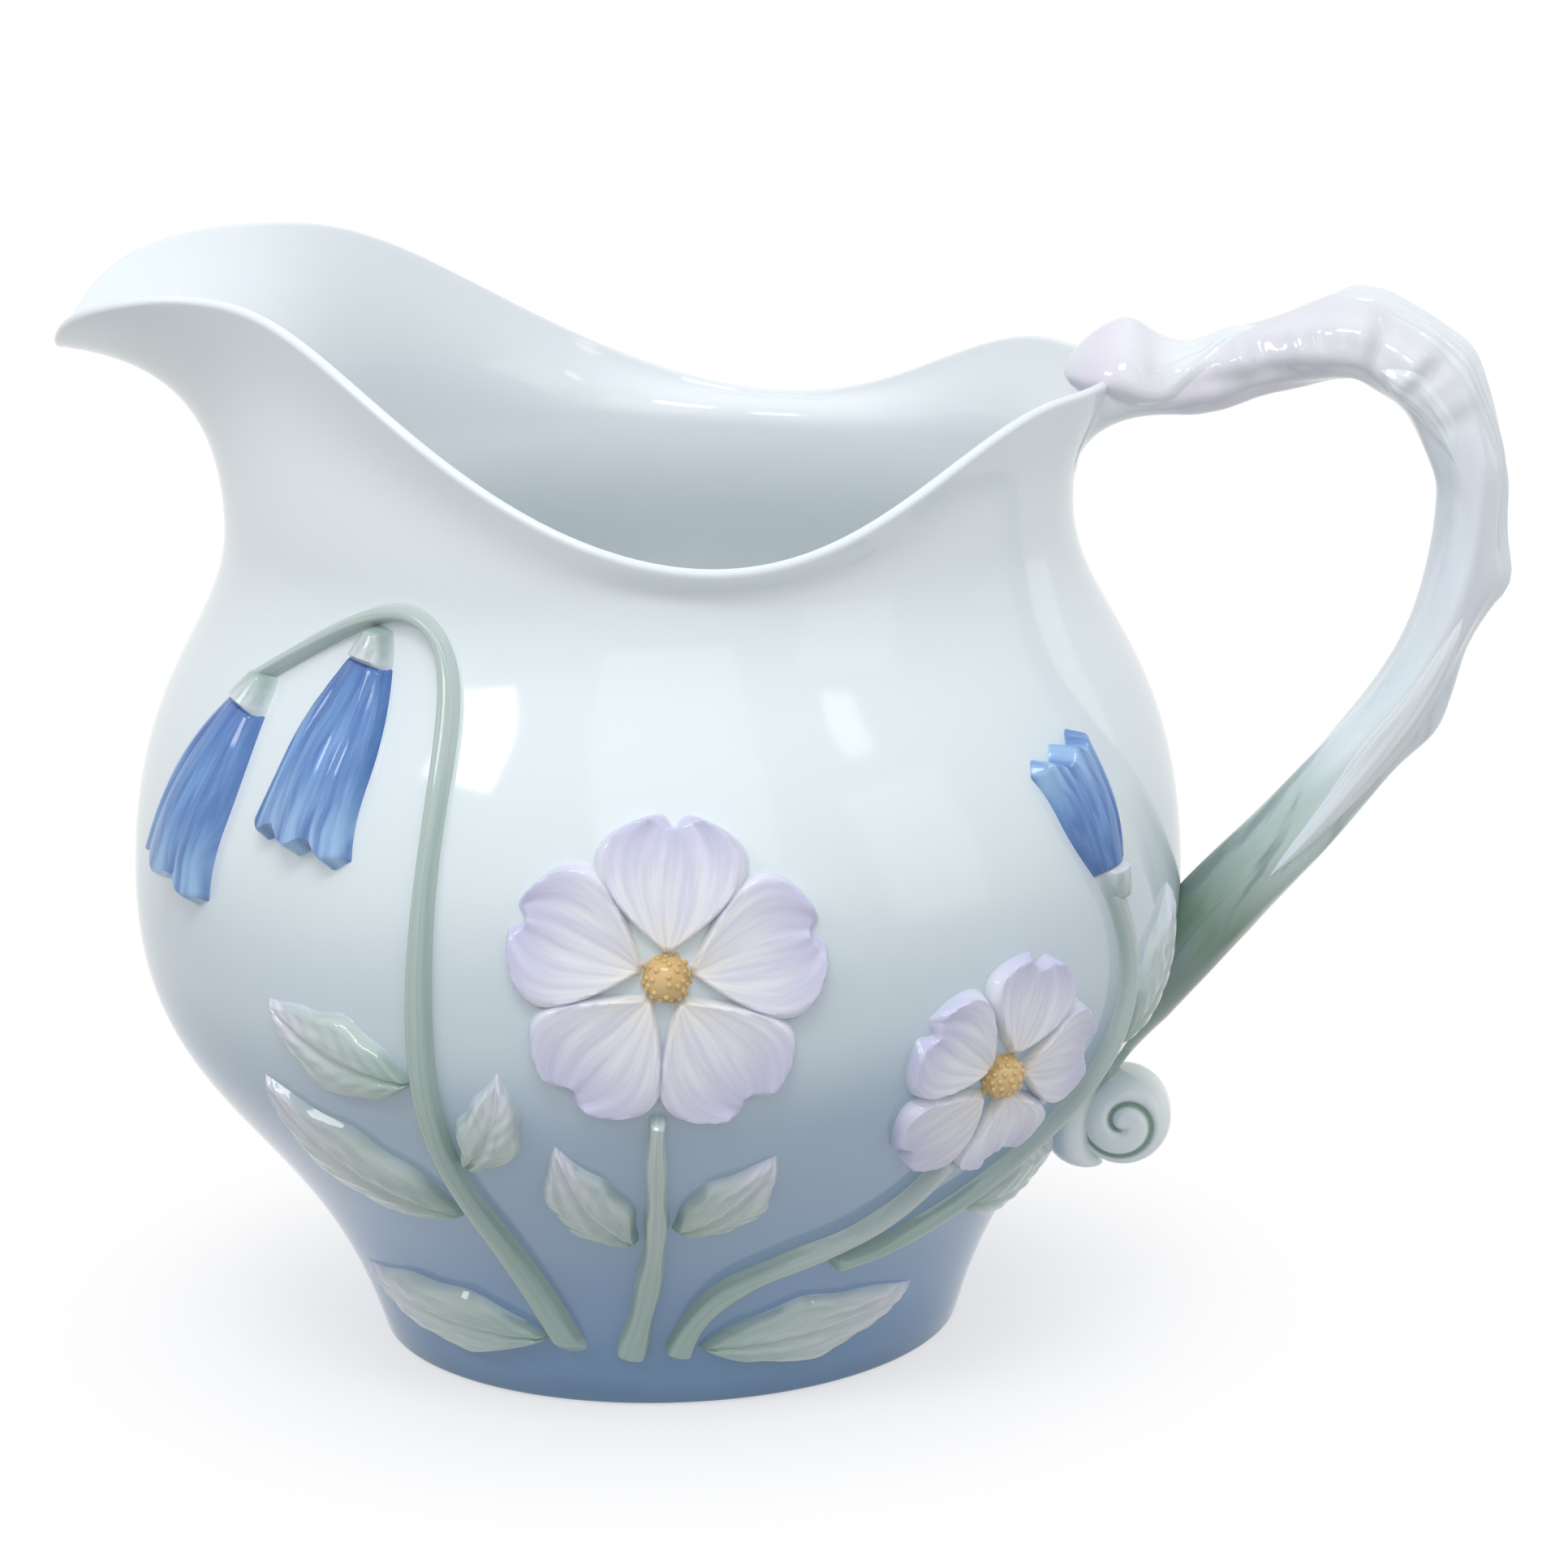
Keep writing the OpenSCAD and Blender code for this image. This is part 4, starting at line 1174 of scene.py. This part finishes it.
# %% Leaves
leaves = [
    (0, 0.02, 178, 28, 4.6, -12), (0, 0.16, 158, 28, 5.6, -34), (0, 0.3, 175, 20, 4.6, -30),
    (0, 0.22, 40, 15, 3.6, 50), (1, 0.42, 132, 19, 4.2, -36), (1, 0.5, 30, 17, 4, 36),
    (2, 0.03, 2, 27, 4.4, 12), (3, 0.3, 350, 22, 4.4, 30), (3, 0.72, 36, 20, 4.2, 36),
    (4, 0.42, 48, 20, 4.4, 40), (4, 0.5, 140, 18, 4.2, -36), (5, 0.03, 178, 28, 4.6, -12),
    (5, 0.5, 172, 22, 4.6, -34), (5, 0.74, 44, 19, 4.2, 34), (6, 0.03, 2, 26, 4.4, 12),
    (6, 0.72, 350, 18, 4.2, 40),
]


def leaf_relief(t, side):
    dome = 0.55 + 1.35 * np.sin(np.pi * t ** 0.7) * (1 - 0.75 * side ** 2)
    groove = 0.55 * hump(side, 0.13) * (1 - 0.5 * t)
    veins = 0.13 * np.cos(2 * np.pi * (8 * t - 2.2 * np.abs(side))) * np.abs(side) ** 0.5 * (1 - side ** 2)
    return dome - groove + veins


def leaf_edge(wave):
    """A leaf's half width along it, with an edge that waves."""
    return lambda t: leaf_shape(t) * (1 + 0.07 * np.sin(19 * t + wave))


for k, (stalk, share, heading, length, half, bend) in enumerate(leaves, 1):
    start = stalk_side(stalk, share, heading, half * 0.08)
    sheet = relief_sheet(start, heading, bend, length, half, leaf_edge(1.7 * k), leaf_relief, 72, 37)
    keep_sheets("leaf_%d" % k, [sheet], "leaf_glaze")
print(len(leaves), "leaves")

# %% [markdown]
# ## Blossoms
# Each open flower has five cupped petals round an eye. A petal is notched at its tip and veined.
# The eye is a small dome with seeds; a Geometry Nodes tree scatters them with a fixed seed.

# %% Blossoms
petal_count = 5
eye_r = 2.6
eye_rows = 25
petal_inset = eye_r - 0.6
seed_r = 0.3
seed_gap = 0.72
first_seed = 7


def petal_shape(t):
    return np.maximum(0.14, np.abs(np.sin(np.pi * t ** 1.5)) ** 0.6)


def petal_relief(t, side):
    cup = 0.55 + 1.25 * (0.3 + 0.7 * np.abs(side) ** 1.5) * sin(90 + 80 * (t - 0.5))
    veins = 0.08 * np.cos(7 * np.pi * side) * t * (1 - np.abs(side))
    ripple = 0.18 * np.sin(3 * np.pi * side + 2) * t ** 3
    return cup + veins + ripple + 0.35 * t ** 4


def petal_notch(t, side):
    return -1.3 * t ** 5 * hump(side, 0.3)


def eye_shape(t):
    return np.maximum(0.2, np.sqrt(np.clip(1 - (2 * t - 1) ** 2, 0, 1)))


def eye_relief(t, side):
    return 0.7 + 1.5 * np.sin(np.pi * t) * (1 - side ** 2)


seed_tree, seed_in, seed_out = geometry_tree("eye_seeds", [
    ("Seed Radius", FLOAT), ("Spacing", FLOAT), ("Seed", "NodeSocketInt")])
spots = add(seed_tree, "GeometryNodeDistributePointsOnFaces", {
    "Mesh": seed_in.outputs["Geometry"], "Distance Min": seed_in.outputs["Spacing"], "Density Max": 4e6,
    "Seed": seed_in.outputs["Seed"]}, distribute_method="POISSON")
bead = add(seed_tree, "GeometryNodeMeshIcoSphere", {
    "Radius": seed_in.outputs["Seed Radius"], "Subdivisions": 2})
beads = add(seed_tree, "GeometryNodeInstanceOnPoints", {
    "Points": spots.outputs["Points"], "Instance": bead.outputs["Mesh"]})
joined = add(seed_tree, "GeometryNodeJoinGeometry")
seed_tree.links.new(beads.outputs[0], joined.inputs[0])
seed_tree.links.new(seed_in.outputs["Geometry"], joined.inputs[0])
end_tree(seed_tree, joined.outputs[0], seed_out, "eye_glaze")

for k, (stalk, reach) in enumerate(blossoms, 1):
    ahead = stalk_heading(stalk, 1.0)
    middle = stepped(stalk_place(stalk, 1.0), ahead, reach)
    half = 0.66 * reach * math.tan(math.pi / petal_count)
    sheets = []
    for petal in range(petal_count):
        heading = ahead + petal * 360 / petal_count
        start = stepped(middle, heading, petal_inset)
        sheets.append(relief_sheet(
            start, heading, 0, reach - petal_inset, half, petal_shape, petal_relief, 56, 37, petal_notch))
    keep_sheets("blossom_petals_%d" % k, sheets, "lilac_glaze")
    low = moved(middle, 0, -eye_r)
    eye = relief_sheet(low, 90, 0, 2 * eye_r, eye_r, eye_shape, eye_relief, eye_rows, eye_rows)
    dome = bpy.data.meshes.new("eye_dome")
    dome_points = np.vstack([side.reshape(-1, 3) for side in eye[:2]]) * MM
    dome.from_pydata(dome_points.tolist(), [], sheet_faces(eye_rows, eye_rows, 0))
    seeds = {"Seed Radius": seed_r * MM, "Spacing": seed_gap * MM, "Seed": first_seed + k}
    grow("blossom_eye_%d" % k, seed_tree, seeds, dome)
print(len(blossoms), "blossoms")

# %% [markdown]
# ## Bell flowers
# A bell hangs from a small cap. It is ribbed along its length and its mouth ends in three points.

# %% Bell flowers
bells = [(0, 1.0, 254, 24, 7.4), (0, 0.86, 261, 24, 7.2), (3, 1.0, 104, 18, 5.4), (5, 1.0, 84, 17, 5.2)]
cap_length = 4.0
cap_lap = 1.0
cap_fill = 0.42
cap_start = 0.45


def cap_shape(t):
    return mix(cap_start, 1, sin(90 * t))


def cap_relief(t, side):
    return 0.8 + 2.3 * (1 - side ** 2) * (0.6 + 0.4 * t)


def bell_shape(t):
    return 0.4 + 0.4 * sin(np.minimum(90, 150 * t)) + 0.2 * t ** 5


def bell_relief(t, side):
    dome = 0.6 + 2.5 * np.clip(1 - side ** 2, 0, 1) ** 0.8 * (0.5 + 0.5 * sin(120 * t))
    ribs = 0.4 * hump(np.abs(side) - 0.38, 0.09) * soft(t * 3)
    return dome - ribs


def bell_points(t, side):
    return 1.5 * t ** 5 * np.cos(1.5 * np.pi * side) ** 2


for k, (stalk, share, heading, length, half) in enumerate(bells, 1):
    cap_half = cap_fill * half
    start_half = cap_half * cap_start
    if share == 1:
        start = stalk_end(stalk, heading, start_half)
    else:
        start = stalk_side(stalk, share, heading, start_half)
    cap = relief_sheet(start, heading, 0, cap_length + cap_lap, cap_half, cap_shape, cap_relief, 24, 25)
    keep_sheets("bell_cap_%d" % k, [cap], "leaf_glaze")
    mouth = stepped(start, heading, cap_length - 0.6)
    rest = length - cap_length - cap_lap
    bell = relief_sheet(mouth, heading, 0, rest, half, bell_shape, bell_relief, 72, 49, bell_points)
    keep_sheets("bell_%d" % k, [bell], "bell_glaze")
print(len(bells), "bells")

# %% [markdown]
# ## Sizes and finish
# The finished pieces must fill the same box as the construction model, so both boxes are written down.

# %% Finish
new_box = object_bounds()
print(len(pieces), "pieces from", in_mm(new_box[0]), "to", in_mm(new_box[1]))
